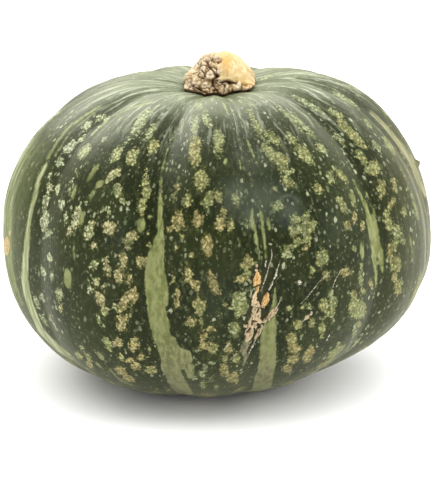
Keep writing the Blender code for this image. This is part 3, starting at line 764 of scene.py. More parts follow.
# pale streaks on both limbs: partly the skin's own streaks, partly painted sheen
light = 0.95 * np.exp(-(((limb_off + 6.0) / 12.0) ** 2)) * limb_zone * limb_streak
limb_off = (GRID_LON - 84.0 + 180.0) % 360.0 - 180.0
leaf = np.maximum(leaf, 0.42 * np.exp(-(((limb_off + 4.0) / 17.0) ** 2)) * limb_zone)
light = np.maximum(light, 0.48 * np.exp(-(((limb_off + 4.0) / 15.0) ** 2)) * limb_zone * limb_streak)
# pale streaks on the lower sides: painted reflection of the floor
light = np.maximum(light, 0.55 * smooth((-0.040 - GRID_S) / 0.030) * smooth((np.abs(GRID_LON) - 30.0) / 25.0) * limb_streak)
# the stripe on the left limb made paler: painted sheen
light = np.maximum(light, 0.85 * smooth((line_field(LINES[3]) + 0.1) / 0.5))

# a cream streak down the right limb: partly the skin's own, partly painted sheen
light = np.maximum(light, 0.80 * smooth((line_field(LINES[14]) + 0.6) / 0.9))

# ---------------------------------------------------------------- the skin's relief
near_stem = smooth((0.070 - GRID_R) / 0.050) * UPPER
flute_at = GROW * (1.0, 1.0, 0.12)
flutes = 0.55 * perlin(flute_at, 0.0072, 1) + 0.45 * perlin(flute_at, 0.0034, 2)
lumps = fractal(BASE, 0.026, 3, 3, 0.5)
small = perlin(BASE, 0.0050, 6)
rise = 0.00034 * lumps + 0.00005 * small
rise += flutes * (0.00008 + 0.00022 * near_stem) * smooth(GRID_R / 0.02)
in_blotch = smooth((blotch + 0.3) / 1.2)
in_stripe = smooth((stripe + 0.2) / 0.9)
rise += 0.00008 * in_blotch * (0.4 + 1.2 * perlin(BASE, 0.0022, 8)) - 0.00010 * in_stripe
crumble = perlin(BASE, 0.0021, 11)
rise += smooth((grey_cork + 0.2) / 1.2) * 0.00035
rise -= smooth((shade + 0.5) / 1.0) * 0.00025
rise += smooth((corky + 0.3) / 1.3) * (0.0005 + 0.0006 * crumble)
rise -= 0.00035 * spot
wart_point, _ = cast(*WART)
wart_far = np.linalg.norm(BASE - wart_point, axis=1)
wart = np.exp(-((wart_far / 0.0015) ** 2))
rise += 0.0021 * wart
rise *= np.where(UPPER, 1.0, smooth((GRID_R - 0.008) / 0.02) * 0.9 + 0.1)
skin = BASE + NORMAL * rise[:, None]
skin[:, 2] = settle(skin[:, 0], skin[:, 1], skin[:, 2], GRID_R, UPPER)
low = skin[:, 2].min()
skin[:, 2] -= low

# How sunken each place is, stored on the skin as an attribute; no material reads it.
sunken = np.clip(-lumps * 0.8 - 0.5 * small, -1, 1)


def mesh_object(name, points, face_lists, attributes):
    mesh = bpy.data.meshes.new(name)
    total = sum(len(f) for f in face_lists)
    corners = np.concatenate([f.reshape(-1) for f in face_lists])
    sizes = np.concatenate([np.full(len(f), f.shape[1]) for f in face_lists])
    mesh.vertices.add(len(points))
    mesh.loops.add(len(corners))
    mesh.polygons.add(total)
    mesh.vertices.foreach_set("co", np.asarray(points, np.float32).ravel())
    mesh.loops.foreach_set("vertex_index", corners.astype(np.int32))
    mesh.polygons.foreach_set("loop_start", np.concatenate([[0], np.cumsum(sizes)[:-1]]).astype(np.int32))
    mesh.update(calc_edges=True)
    mesh.validate()
    mesh.shade_smooth()
    for key, values in attributes.items():
        values = np.asarray(values, np.float32)
        if values.ndim == 2:
            mesh.attributes.new(key, "FLOAT_VECTOR", "POINT").data.foreach_set("vector", values.ravel())
        else:
            mesh.attributes.new(key, "FLOAT", "POINT").data.foreach_set("value", values)
    obj = bpy.data.objects.new(name, mesh)
    bpy.context.scene.collection.objects.link(obj)
    return obj


def skin_map(mesh):
    """Lays the skin out on a square: the upper half is the diamond in the middle, the lower half its four corners."""
    corner = np.array([(1.0, 0.0), (0.0, 1.0), (-1.0, 0.0), (0.0, -1.0)])
    loops = np.empty(len(mesh.loops), np.int32)
    mesh.loops.foreach_get("vertex_index", loops)
    starts, sizes = np.empty(len(mesh.polygons), np.int32), np.empty(len(mesh.polygons), np.int32)
    mesh.polygons.foreach_get("loop_start", starts)
    mesh.polygons.foreach_get("loop_total", sizes)
    face = np.repeat(np.arange(len(starts)), sizes)
    # a face's columns are neighbours, so its quarter is that of the middle of its longitudes
    lon = np.radians(GRID_LON[loops])
    is_pole = loops >= COUNT - 2
    weight = np.where(is_pole, 0.0, 1.0)
    cx = np.bincount(face, np.cos(lon) * weight, len(starts))
    cy = np.bincount(face, np.sin(lon) * weight, len(starts))
    middle = np.degrees(np.arctan2(cy, cx))
    q = (np.floor((middle + 135.0) / 90.0).astype(int) % 4)[face]
    begin = -135.0 + 90.0 * q
    own = np.where(is_pole, middle[face], GRID_LON[loops])
    share = ((own - begin + 180.0) % 360.0 - 180.0) / 90.0
    share = np.clip(share, 0, 1)[:, None]
    top, bottom = S_T[-1], S_T[0]
    s = GRID_S[loops]
    t = np.where(s >= 0, s / top, s / bottom)[:, None]
    edge = corner[q] * (1 - share) + corner[(q + 1) % 4] * share
    outer = corner[q] + corner[(q + 1) % 4]
    place = np.where(s[:, None] >= 0, edge * (1 - t), edge * (1 - t) + outer * t)
    layer = mesh.uv_layers.new(name="OFBake")
    layer.data.foreach_set("uv", (place * 0.495 + 0.5).astype(np.float32).ravel())


squash = mesh_object(
    "squash_skin",
    skin,
    [QUADS, UNDER, OVER],
    {
        "grow": GROW,
        "blotch": blotch,
        "tone": TONE,
        "stripe": stripe,
        "grey_cork": grey_cork,
        "shade": shade,
        "corky": corky + 0.0,
        "bloom_and_reflection": bloom_and_reflection + 0.9 * arc,
        "spot": spot,
        "wart": wart,
        "sunken": sunken,
        "near_stem": near_stem,
        "gain": gain,
        "painted_sheen_left": painted_sheen_left,
        "light": light,
        "leaf": leaf,
        "side": smooth((BASE[:, 0] + 0.03) / 0.06),
        "height": GRID_S,
        "girth": GRID_R,
        "groove": 1.0 - lobe_height(GRID_LON)[0],
    },
)
skin_map(squash.data)


# ---------------------------------------------------------------- the healed scar
# Corky ridges, scabs and dry fibres, as one thin closed piece that comes up out of the skin. It is laid out on a fine
# grid of places in the frame, and only the cells near a drawn line are kept.
SCAR_CELL = 0.30
scar_x, scar_y = np.meshgrid(np.arange(222.0, 345.0, SCAR_CELL), np.arange(246.0, 362.0, SCAR_CELL))
wide_of_scar = scar_x.shape[1]
scar_x, scar_y = scar_x.ravel(), scar_y.ravel()
sheet_at = np.stack([scar_x, scar_y, np.zeros(len(scar_x))], 1)


def drawn(lines, ragged):
    """How far in from the edge of drawn lines each place of the scar's grid is, in frame units."""
    px = scar_x + ragged * (perlin(sheet_at, 2.6, 61) + 0.6 * perlin(sheet_at, 1.2, 62))
    py = scar_y + ragged * (perlin(sheet_at, 2.6, 63) + 0.6 * perlin(sheet_at, 1.2, 64))
    best = np.full(len(px), -9.0)
    for line in lines:
        for (x0, y0, w0), (x1, y1, w1) in zip(line, line[1:]):
            dx, dy = x1 - x0, y1 - y0
            t = np.clip(((px - x0) * dx + (py - y0) * dy) / (dx * dx + dy * dy), 0, 1)
            best = np.maximum(best, w0 + (w1 - w0) * t - np.hypot(px - x0 - t * dx, py - y0 - t * dy))
    return best


def swell_up(field, tall, reach):
    """A rounded rise of that height, reached that far in from the edge, and sunk under the skin outside it."""
    inside = 1 - (1 - np.clip(field / reach, 0, 1)) ** 2
    return np.where(field > 0, tall * inside, 0.0007 * np.clip(field, -0.5, 0))


scab, tip, ridge = drawn(SCAB, 0.6) + 0.1, drawn(TIP, 0.6), drawn(RIDGE, 1.0) + 0.3
fibre, crack_in = drawn(FIBRES, 0.35) + 0.30 * perlin(sheet_at, 2.2, 69) - 0.08, drawn(CRACKS, 0.5)
turn = math.radians(24.0)
along_scar = sheet_at[:, 0] * math.sin(turn) - sheet_at[:, 1] * math.cos(turn)
across_scar = sheet_at[:, 0] * math.cos(turn) + sheet_at[:, 1] * math.sin(turn)
strand_at = np.stack([across_scar, along_scar * 0.22, np.zeros(len(across_scar))], 1)
strands = perlin(strand_at, 1.2, 65) + 0.5 * perlin(strand_at, 0.7, 66)
lump_at = perlin(sheet_at, 3.2, 67) + 0.5 * perlin(sheet_at, 1.6, 68)
up = np.maximum(swell_up(scab, 0.00085, 2.2), swell_up(tip, 0.00065, 1.6))
up = np.maximum(up, swell_up(ridge + 0.5 * strands, 0.00100, 2.2))
up += smooth(np.maximum(ridge, tip) / 1.5) * (0.00030 * strands + 0.00020 * lump_at)
up += smooth(scab / 1.5) * (0.00008 * strands + 0.00016 * lump_at)
up -= 0.00095 * smooth((crack_in + 0.5) / 0.9)
fibre_up = swell_up(fibre, 0.00042, 0.8)
up = np.maximum(up, fibre_up + 0.00025 * smooth(np.maximum(ridge, scab)))
nearby = np.maximum.reduce([scab, tip, ridge + 0.5 * strands, fibre]) > -0.75

patch_faces = [f for f in map(tuple, QUADS.tolist()) if SEEN[f[0]] and 214 < SEEN_X[f[0]] < 353 and 238 < SEEN_Y[f[0]] < 370]
patch_used = sorted({v for f in patch_faces for v in f})
patch_index = {v: i for i, v in enumerate(patch_used)}
skin_here = BVHTree.FromPolygons(
    [Vector(skin[v]) for v in patch_used], [tuple(patch_index[v] for v in f) for f in patch_faces]
)
scar_top, scar_low = np.zeros((len(scar_x), 3)), np.zeros((len(scar_x), 3))
for i in np.nonzero(nearby)[0]:
    hit, normal, _, _ = skin_here.ray_cast(Vector(EYE), Vector(ray(scar_x[i], scar_y[i])))
    if hit is None:
        nearby[i] = False
        continue
    hit, normal = np.array(hit), np.array(normal)
    scar_top[i] = hit + normal * up[i]
    scar_low[i] = hit - normal * 0.00050
corner = np.arange(len(scar_x) - wide_of_scar)
corner = corner[corner % wide_of_scar < wide_of_scar - 1]
cells = np.stack([corner, corner + wide_of_scar, corner + wide_of_scar + 1, corner + 1], 1)
cells = cells[nearby[cells].all(1)]
kept, again = np.unique(cells, return_inverse=True)
cells = again.reshape(-1, 4)
n_top = len(kept)
edges = np.concatenate([cells[:, [k, (k + 1) % 4]] for k in range(4)])
code = edges[:, 0].astype(np.int64) * n_top + edges[:, 1]
back_code = edges[:, 1].astype(np.int64) * n_top + edges[:, 0]
rim = edges[~np.isin(code, back_code)]
walls = np.stack([rim[:, 1], rim[:, 0], rim[:, 0] + n_top, rim[:, 1] + n_top], 1)


def twice(values):
    return np.concatenate([values[kept], values[kept]])


healed = mesh_object(
    "healed_scar",
    np.concatenate([scar_top[kept], scar_low[kept]]),
    [cells, cells[:, ::-1] + n_top, walls],
    {
        "scab": twice(smooth((scab + 0.2) / 0.7)),
        "tip": twice(smooth((tip + 0.2) / 0.7)),
        "fibre": twice(smooth((fibre + 0.15) / 0.4) * (up <= fibre_up + 0.00030)),
        "crack": twice(smooth((crack_in + 0.5) / 0.8)),
        "strand": twice(strands),
        "rim": twice(smooth(np.maximum.reduce([scab, tip, ridge + 0.5 * strands]) / 1.1)),
    },
)
uv_of_scar = np.stack([(scar_x - 221) / 126.0, (scar_y - 245) / 126.0], 1)[kept]
uv_of_scar = np.concatenate([uv_of_scar * (1.0, 0.49), uv_of_scar * (1.0, 0.49) + (0.0, 0.5)])
loops = np.empty(len(healed.data.loops), np.int32)
healed.data.loops.foreach_get("vertex_index", loops)
healed.data.uv_layers.new(name="OFBake").data.foreach_set("uv", uv_of_scar[loops].astype(np.float32).ravel())


# ---------------------------------------------------------------- the stem
STEM_TURNS, STEM_RISE, STEM_UNDER = 256, 92, 8
final_tree = BVHTree.FromPolygons(
    [Vector(p) for p in skin[(ROWS - 60) * COLUMNS :]],
    [tuple(int(v) - (ROWS - 60) * COLUMNS for v in f) for f in QUADS if f[0] >= (ROWS - 60) * COLUMNS]
    + [tuple(int(v) - (ROWS - 60) * COLUMNS for v in f) for f in OVER],
)
STEM_MID = np.array([STEM_X, STEM_Y]) + SHIFT[:2]


def under(x, y):
    return final_tree.ray_cast(Vector((x, y, 1.0)), Vector((0, 0, -1)))[0].z + 0.00025


def stem_edge(turn):
    cos, sin = np.cos(turn), np.sin(turn)
    lump = 1 + 0.03 * np.sin(5 * turn + 0.2) + 0.02 * np.sin(9 * turn + 1.0)
    lump = lump * (np.abs(cos) ** STEM_SQUARE + np.abs(sin) ** STEM_SQUARE) ** (-1 / STEM_SQUARE)
    return STEM_HALF_WIDTH * lump * cos, STEM_HALF_DEPTH * lump * sin


def stem_points():
    turn = 2 * math.pi * np.arange(STEM_TURNS) / STEM_TURNS
    ex, ey = stem_edge(turn)
    rings = []
    for k in range(1, STEM_UNDER + 1):
        share = 0.93 * k / STEM_UNDER
        x, y = STEM_MID[0] + ex * share, STEM_MID[1] + ey * share
        z = np.array([under(a, b) for a, b in zip(x, y)])
        rings.append(np.stack([x, y, z], 1))
    foot = np.array([under(a, b) for a, b in zip(STEM_MID[0] + ex, STEM_MID[1] + ey)])
    middle = under(*STEM_MID)
    top = middle + STEM_HEIGHT
    for k in range(1, STEM_RISE + 1):
        t = k / (STEM_RISE + 1)
        t = t**0.94
        wide = (1 - t**1.55) ** 0.5
        ease = 0.30 + 0.70 * (1 - t)
        gx = STEM_HALF_WIDTH * np.cos(turn) * (1 - ease) + ex * ease
        gy = STEM_HALF_DEPTH * np.sin(turn) * (1 - ease) + ey * ease
        start = foot + 0.0006
        z = start + (top - start) * t
        rings.append(np.stack([STEM_MID[0] + gx * wide, STEM_MID[1] + gy * wide, z], 1))
    ends = np.array([[STEM_MID[0], STEM_MID[1], middle], [STEM_MID[0], STEM_MID[1], top]])
    return np.concatenate(rings + [ends])


stem = stem_points()
rings = STEM_RISE + STEM_UNDER
i = np.arange(STEM_TURNS)[None, :]
j = (i + 1) % STEM_TURNS
row = np.arange(rings - 1)[:, None] * STEM_TURNS
stem_quads = np.stack([row + i, row + j, row + STEM_TURNS + j, row + STEM_TURNS + i], -1).reshape(-1, 4)
i, j = i[0], j[0]
last = (rings - 1) * STEM_TURNS
stem_under = np.stack([np.full(STEM_TURNS, len(stem) - 2), j, i], 1)
stem_over = np.stack([np.full(STEM_TURNS, len(stem) - 1), last + i, last + j], 1)


def stem_normals(points):
    total = np.zeros_like(points)
    for f in (stem_quads[:, [0, 1, 2]], stem_quads[:, [0, 2, 3]], stem_under, stem_over):
        a, b, c = points[f[:, 0]], points[f[:, 1]], points[f[:, 2]]
        n = np.cross(b - a, c - a)
        for k in range(3):
            for axis in range(3):
                total[:, axis] += np.bincount(f[:, k], n[:, axis], len(points))
    return total / (np.linalg.norm(total, axis=1)[:, None] + 1e-30)


stem_out = stem_normals(stem)
step = stem - EYE
depth = -(step @ BACK)
stem_x = FRAME_W / 2 + FOCAL * (step @ RIGHT) / depth
stem_y = FRAME_H / 2 - FOCAL * (step @ UP) / depth
to_eye = -step / np.linalg.norm(step, axis=1)[:, None]
stem_facing = (stem_out * to_eye).sum(1)
ring_of = np.concatenate([np.repeat(np.arange(rings), STEM_TURNS), [0, rings]])
above = ring_of >= STEM_UNDER
rise_t = np.clip((ring_of - STEM_UNDER) / STEM_RISE, 0, 1)
front = smooth((stem_facing - 0.05) / 0.2)

# The smooth cut face: on the right, from the top down to a broken edge over the knobs of the foot.
edge_left = 217.0 + 3.0 * np.sin(stem_y * 0.55)
face = smooth((stem_x - edge_left) / 4.0) * smooth((82.0 + 0.30 * np.maximum(stem_x - 232, 0) - stem_y) / 4.0)
wrapped = smooth((stem[:, 0] - STEM_MID[0] - 0.001) / 0.005) * smooth((rise_t - 0.30) / 0.15)
face = np.where(stem_facing > 0.05, face, wrapped * smooth((0.012 - np.abs(stem[:, 1])) / 0.006))

rough = 1.0 - 0.88 * face
stretch = stem * (1.0, 1.0, 0.75)
first, second, name = cellular(stretch + 0.0014 * perlin(stem, 0.003, 41)[:, None], 0.0050, 31)
knob = 1.0 - first**2 * 1.3
seam = smooth((0.17 - (second - first)) / 0.17)
first_s, second_s, name_s = cellular(stretch + 0.0006 * perlin(stem, 0.0016, 43)[:, None], 0.0021, 33)
crumb = 1.0 - first_s**2 * 1.4
seam_s = smooth((0.16 - (second_s - first_s)) / 0.16)
grit = fractal(stem, 0.0012, 35, 2, 0.6)
swell = fractal(stem, 0.009, 37, 2, 0.5)
relief = rough * (0.0013 * (knob - 0.80) - 0.0007 * seam + 0.0006 * (crumb - 0.80) - 0.0004 * seam_s + 0.0003 * grit)
relief += 0.0004 * swell + face * 0.00022 * perlin(stem * (1, 1, 0.35), 0.0016, 39)
relief += rough * 0.0008 * (name - 0.5) * smooth(rise_t / 0.10)


def on_stem(x, y, half_x, half_y):
    return np.exp(-(((stem_x - x) / half_x) ** 2) - ((stem_y - y) / half_y) ** 2) * front


def crack(points):
    best = np.full(len(stem), 99.0)
    for (x0, y0, w0), (x1, y1, w1) in zip(points, points[1:]):
        dx, dy = x1 - x0, y1 - y0
        t = np.clip(((stem_x - x0) * dx + (stem_y - y0) * dy) / (dx * dx + dy * dy), 0, 1)
        far = np.hypot(stem_x - x0 - t * dx, stem_y - y0 - t * dy)
        best = np.minimum(best, far / (w0 + (w1 - w0) * t))
    return np.exp(-(best**2)) * front


holes = np.maximum.reduce(
    [
        on_stem(217.0, 75.6, 2.4, 1.5),
        on_stem(229.3, 81.6, 2.6, 1.2),
        0.8 * on_stem(236.0, 92.5, 1.6, 1.5),
        0.5 * on_stem(201.5, 77.0, 1.1, 1.4),
        0.6 * on_stem(214.0, 91.0, 1.5, 1.5),
    ]
)
cracks = np.maximum.reduce(
    [
        crack([(206, 60, 0.5), (209, 66, 0.7), (213, 71, 0.9), (217.5, 75.5, 1.1)]),
        crack([(217.5, 76.5, 0.9), (212.5, 79, 0.8), (213, 85, 1.0), (217, 91, 0.9), (220, 96, 0.7)]),
        crack([(198, 67, 0.5), (203, 72, 0.7), (206, 77, 0.6)]),
        crack([(219, 82.0, 0.6), (224, 81.5, 0.7), (229.3, 81.6, 0.9), (235, 82.5, 0.6)]),
        crack([(224.5, 84, 0.5), (224.0, 94, 0.6)]),
        crack([(231.5, 85, 0.5), (233.5, 95, 0.6)]),
        crack([(241.5, 88, 0.5), (239.5, 96, 0.6)]),
        crack([(192, 86, 0.5), (200, 90, 0.7), (208, 94, 0.7)]),
    ]
)
relief -= 0.0017 * holes + 0.0008 * cracks
# the left knob stands out over the foot, and a dent cuts in over it
side = np.exp(-(((stem_x - 188.0) / 7.0) ** 2) - ((stem_y - 78.5) / 5.5) ** 2)
dent = np.exp(-(((stem_x - 194.0) / 5.0) ** 2) - ((stem_y - 67.0) / 4.0) ** 2)
relief += 0.0014 * side - 0.0016 * dent
relief += 0.0006 * on_stem(226, 90.5, 4, 3.5) + 0.0006 * on_stem(208, 84, 4, 4) + 0.0004 * on_stem(236, 89, 3, 3)
relief = np.where(above, relief * smooth((rise_t + 0.03) / 0.06), 0.0)
# the foot reaches out at its two front corners
flare = np.exp(-(((stem_x - 251.0) / 9.0) ** 2) - ((stem_y - 88.0) / 6.0) ** 2)
flare += 0.6 * np.exp(-(((stem_x - 190.0) / 7.0) ** 2) - ((stem_y - 90.0) / 5.0) ** 2)
relief += np.where(above, 0.0030 * flare * smooth((0.42 - rise_t) / 0.35) * front, 0.0)
# painted shade: dark in seams, holes and cracks, under the lower left of the foot, and where the stem meets the skin
painted_crevice_shade = np.clip(0.52 * seam * rough + 0.36 * seam_s * rough + 1.0 * holes + 0.85 * cracks, 0, 1)
painted_crevice_shade = np.maximum(painted_crevice_shade, 0.42 * on_stem(200, 91.5, 10, 3.2) * rough)
painted_crevice_shade = np.maximum(painted_crevice_shade, smooth((0.035 - rise_t) / 0.03) * 0.9)
stem = stem + stem_out * relief[:, None]
box_low, box_high = (np.array(v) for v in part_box("stem"))
stem = np.minimum(np.maximum(stem, box_low - 0.0004), box_high + 0.0004)

stalk = mesh_object(
    "stem_cork_knob",
    stem,
    [stem_quads, stem_under, stem_over],
    {
        "painted_crevice_shade": painted_crevice_shade,
        "cut_face": face,
        "lump": knob * 0.5 + crumb * 0.5,
        "chunk": name_s,
        "ochre": np.maximum(on_stem(226.5, 61, 6, 8), 0.8 * on_stem(246, 86, 5, 4)),
        "foot": smooth((0.2 - rise_t) / 0.2),
    },
)


# ---------------------------------------------------------------- materials
class Graph:
    def __init__(self, name):
        self.material = bpy.data.materials.new(name)
        self.material.use_nodes = True
        self.tree = self.material.node_tree
        self.tree.nodes.clear()

    def node(self, kind, **settings):
        made = self.tree.nodes.new(kind)
        for key, value in settings.items():
            setattr(made, key, value)
        return made

    def put(self, socket, value):
        if isinstance(value, bpy.types.NodeSocket):
            self.tree.links.new(value, socket)
        elif isinstance(value, tuple) and socket.type == "RGBA":
            socket.default_value = (*value, 1.0)
        else:
            socket.default_value = value

    def math(self, operation, a, b=0.0, clamp=False):
        made = self.node("ShaderNodeMath", operation=operation, use_clamp=clamp)
        self.put(made.inputs[0], a)
        self.put(made.inputs[1], b)
        return made.outputs[0]

    def mix(self, factor, a, b):
        made = self.node("ShaderNodeMix", data_type="RGBA", clamp_factor=True)
        self.put(made.inputs[0], factor)
        self.put(made.inputs[6], a)
        self.put(made.inputs[7], b)
        return made.outputs[2]

    def times(self, colour, value):
        """A colour made lighter or darker."""
        made = self.node("ShaderNodeVectorMath", operation="SCALE")
        self.put(made.inputs[0], colour)
        self.put(made.inputs["Scale"], value)
        return made.outputs[0]

    def step(self, value, low, high, start=0.0, end=1.0):
        made = self.node("ShaderNodeMapRange", interpolation_type="SMOOTHSTEP", clamp=True)
        self.put(made.inputs["Value"], value)
        for key, number in (("From Min", low), ("From Max", high), ("To Min", start), ("To Max", end)):
            made.inputs[key].default_value = number
        return made.outputs["Result"]

    def attribute(self, name, output="Fac"):
        return self.node("ShaderNodeAttribute", attribute_type="GEOMETRY", attribute_name=name).outputs[output]

    def stretch(self, vector, x, y, z):
        made = self.node("ShaderNodeVectorMath", operation="MULTIPLY")
        self.put(made.inputs[0], vector)
        made.inputs[1].default_value = (x, y, z)
        return made.outputs[0]

    def noise(self, vector, scale, detail=2.0, roughness=0.5, distortion=0.0):
        made = self.node("ShaderNodeTexNoise")
        self.put(made.inputs["Vector"], vector)
        for key, number in (("Scale", scale), ("Detail", detail), ("Roughness", roughness), ("Distortion", distortion)):
            made.inputs[key].default_value = number
        return made.outputs["Fac"]

    def noise_colour(self, vector, scale, detail):
        """Three noises at once, each from -0.5 to 0.5."""
        made = self.node("ShaderNodeTexNoise")
        self.put(made.inputs["Vector"], vector)
        made.inputs["Scale"].default_value, made.inputs["Detail"].default_value = scale, detail
        middle = self.node("ShaderNodeVectorMath", operation="SUBTRACT")
        self.tree.links.new(made.outputs["Color"], middle.inputs[0])
        middle.inputs[1].default_value = (0.5, 0.5, 0.5)
        return middle.outputs[0]

    def cells(self, vector, scale, randomness=1.0):
        made = self.node("ShaderNodeTexVoronoi", feature="F1")
        self.put(made.inputs["Vector"], vector)
        made.inputs["Scale"].default_value = scale
        made.inputs["Randomness"].default_value = randomness
        split = self.node("ShaderNodeSeparateColor")
        self.tree.links.new(made.outputs["Color"], split.inputs[0])
        return made.outputs["Distance"], split.outputs[0], split.outputs[1], split.outputs[2]

    def finish(self, colour, roughness, height, specular, distance, strength, sheen=0.0):
        shader = self.node("ShaderNodeBsdfPrincipled")
        out = self.node("ShaderNodeOutputMaterial")
        self.tree.links.new(shader.outputs[0], out.inputs[0])
        self.put(shader.inputs["Base Color"], colour)
        self.put(shader.inputs["Roughness"], roughness)
        shader.inputs["Specular IOR Level"].default_value = specular
        shader.inputs["Sheen Weight"].default_value = sheen
        shader.inputs["Sheen Roughness"].default_value = 0.5
        shader.inputs["Sheen Tint"].default_value = (0.80, 0.84, 0.50, 1.0)
        if height is not None:
            bump = self.node("ShaderNodeBump")
            bump.inputs["Strength"].default_value = strength
            bump.inputs["Distance"].default_value = distance
            self.put(bump.inputs["Height"], height)
            self.tree.links.new(bump.outputs[0], shader.inputs["Normal"])
        return self.material


def flecks(g, vector, scale, least, most, soft, share):
    """Small pale dots: how strongly each place is one, and the random number of its dot."""
    far, a, b, c = g.cells(vector, scale)
    size = g.math("ADD", g.math("MULTIPLY", a, most - least), least)
    dot = g.step(g.math("SUBTRACT", size, far), -soft, soft)
    keep = g.step(b, 1.0 - share - 0.03, 1.0 - share + 0.03)
    return g.math("MULTIPLY", dot, keep), c


def skin_material():
    g = Graph("kabocha_skin")
    place = g.node("ShaderNodeTexCoord").outputs["Object"]
    grow = g.attribute("grow", "Vector")
    height, girth = g.attribute("height"), g.attribute("girth")
    near = g.attribute("near_stem")

    # dark green, uneven, a little streaked along the meridians
    broad = g.noise(place, 42, 3, 0.6)
    fine = g.noise(g.stretch(grow, 1, 1, 0.6), 560, 3, 0.6)
    colour = g.mix(g.step(broad, 0.38, 0.62), srgb(28, 35, 13), srgb(42, 49, 21))
    colour = g.mix(g.step(fine, 0.46, 0.70), colour, srgb(58, 65, 35))
    # painted shade: darker in the grooves between the lobes
    groove = g.attribute("groove")
    colour = g.mix(g.math("MULTIPLY", g.step(groove, 0.2, 1.0), 0.35), colour, srgb(26, 32, 12))

    # pale flecks
    patchy = g.step(g.noise(place, 85, 2, 0.5), 0.38, 0.58, 0.35, 1.0)
    warped = g.node("ShaderNodeVectorMath", operation="ADD")
    g.put(warped.inputs[0], g.stretch(grow, 1, 1, 0.72))
    g.put(warped.inputs[1], g.stretch(g.noise_colour(place, 700, 2), 0.0016, 0.0016, 0.0016))
    one, tint = flecks(g, warped.outputs[0], 430, 0.06, 0.38, 0.10, 0.66)
    two, tint_two = flecks(g, warped.outputs[0], 800, 0.12, 0.42, 0.12, 0.46)
    bright = g.mix(g.step(tint, 0.1, 0.9), srgb(100, 109, 72), srgb(182, 186, 150))
    dull = g.mix(g.step(tint_two, 0.1, 0.9), srgb(84, 92, 58), srgb(136, 142, 106))
    colour = g.mix(g.math("MULTIPLY", g.math("MULTIPLY", two, 0.75), patchy), colour, dull)
    colour = g.mix(g.math("MULTIPLY", one, g.math("MULTIPLY", patchy, 0.88)), colour, bright)

    # paler grey-green near the stem: partly the waxy skin, partly painted sheen; then pale radial streaks by the stem
    colour = g.mix(g.math("MULTIPLY", near, 0.42), colour, srgb(128, 138, 102))
    rays = g.noise(g.stretch(grow, 1, 1, 0.26), 230, 4, 0.62, 0.5)
    rays = g.math("MULTIPLY", g.step(rays, 0.50, 0.66), g.step(height, 0.052, 0.096))
    colour = g.mix(g.math("MULTIPLY", rays, 0.56), colour, srgb(202, 209, 178))

    # blotches: ragged and crumbly
    field = g.attribute("blotch")
    ragged = g.noise(place, 430, 4, 0.66)
    bent = g.node("ShaderNodeVectorMath", operation="ADD")
    g.put(bent.inputs[0], place)
    g.put(bent.inputs[1], g.stretch(g.noise_colour(place, 620, 2), 0.0018, 0.0018, 0.0018))
    lobe, lobe_a, lobe_b, _ = g.cells(bent.outputs[0], 860)
    edge = g.math("ADD", field, g.math("MULTIPLY", g.math("SUBTRACT", ragged, 0.5), 5.4))
    edge = g.math("ADD", edge, g.math("MULTIPLY", g.math("SUBTRACT", lobe_a, lobe), 0.8))
    halo = g.step(edge, -0.60, 0.25)
    pits = g.math("ADD", lobe, g.math("MULTIPLY", g.math("SUBTRACT", g.noise(place, 950, 3, 0.6), 0.5), 1.1))
    core = g.math("MULTIPLY", g.step(edge, -0.15, 0.45), g.step(pits, 0.66, 0.36, 0.22, 1.0))
    tone = g.attribute("tone")
    tone = g.math("ADD", tone, g.math("MULTIPLY", g.math("SUBTRACT", g.noise(place, 260, 2, 0.5), 0.5), 0.7), clamp=True)
    pale = g.mix(g.step(tone, 0.0, 0.45), srgb(176, 182, 146), srgb(164, 167, 112))
    pale = g.mix(g.step(tone, 0.4, 0.85), pale, srgb(178, 165, 114))
    pale = g.times(pale, g.step(lobe_b, 0.0, 1.0, 0.72, 1.62))
    pale = g.times(pale, g.attribute("gain"))
    # painted sheen: blotches on the upper left mixed towards a pale whitish green
    pale = g.mix(g.attribute("painted_sheen_left"), pale, g.times(srgb(208, 213, 184), g.step(lobe_b, 0.0, 1.0, 0.80, 1.25)))
    deep = g.mix(g.step(tone, 0.1, 0.9), srgb(92, 100, 52), srgb(104, 99, 52))
    colour = g.mix(g.math("MULTIPLY", halo, 0.78), colour, deep)
    colour = g.mix(g.math("MULTIPLY", core, 0.92), colour, pale)

    # smooth stripes
    line = g.attribute("stripe")
    frayed = g.noise(place, 520, 3, 0.6)
    line = g.math("ADD", line, g.math("MULTIPLY", g.math("SUBTRACT", frayed, 0.5), 1.9))
    green = g.noise(g.stretch(grow, 1, 1, 0.45), 520, 4, 0.62)
    solid = g.mix(g.step(green, 0.36, 0.64), srgb(112, 118, 66), srgb(154, 158, 104))
    dull_green = g.mix(g.step(green, 0.36, 0.64), srgb(102, 101, 68), srgb(141, 138, 104))
    solid = g.mix(g.step(height, 0.0, -0.06), solid, dull_green)
    solid = g.mix(g.math("MULTIPLY", g.step(g.noise(place, 60, 2, 0.5), 0.45, 0.62), 0.7), solid, srgb(140, 144, 94))
    colour = g.mix(g.math("MULTIPLY", g.step(line, -0.45, 0.15), 0.55), colour, srgb(84, 94, 50))
    stripe_mask = g.step(line, -0.05, 0.40)
    colour = g.mix(g.math("MULTIPLY", stripe_mask, 0.94), colour, solid)

    # both sides are streaked: leaf green and cream on the left, greyish brown and cream on the right; the cream streaks
    # are partly the skin's own and partly painted sheen, low down painted reflection of the floor
    side = g.attribute("side")
    sides = g.noise(g.stretch(grow, 1, 1, 0.13), 400, 4, 0.62)
    colour = g.mix(g.math("MULTIPLY", g.attribute("leaf"), g.step(sides, 0.62, 0.42, 0.35, 1.0)), colour, g.mix(side, srgb(102, 116, 44), srgb(98, 93, 66)))
    colour = g.mix(g.math("MULTIPLY", g.attribute("light"), g.step(sides, 0.42, 0.60, 0.30, 1.15)), colour, g.mix(side, srgb(204, 208, 166), srgb(172, 165, 134)))

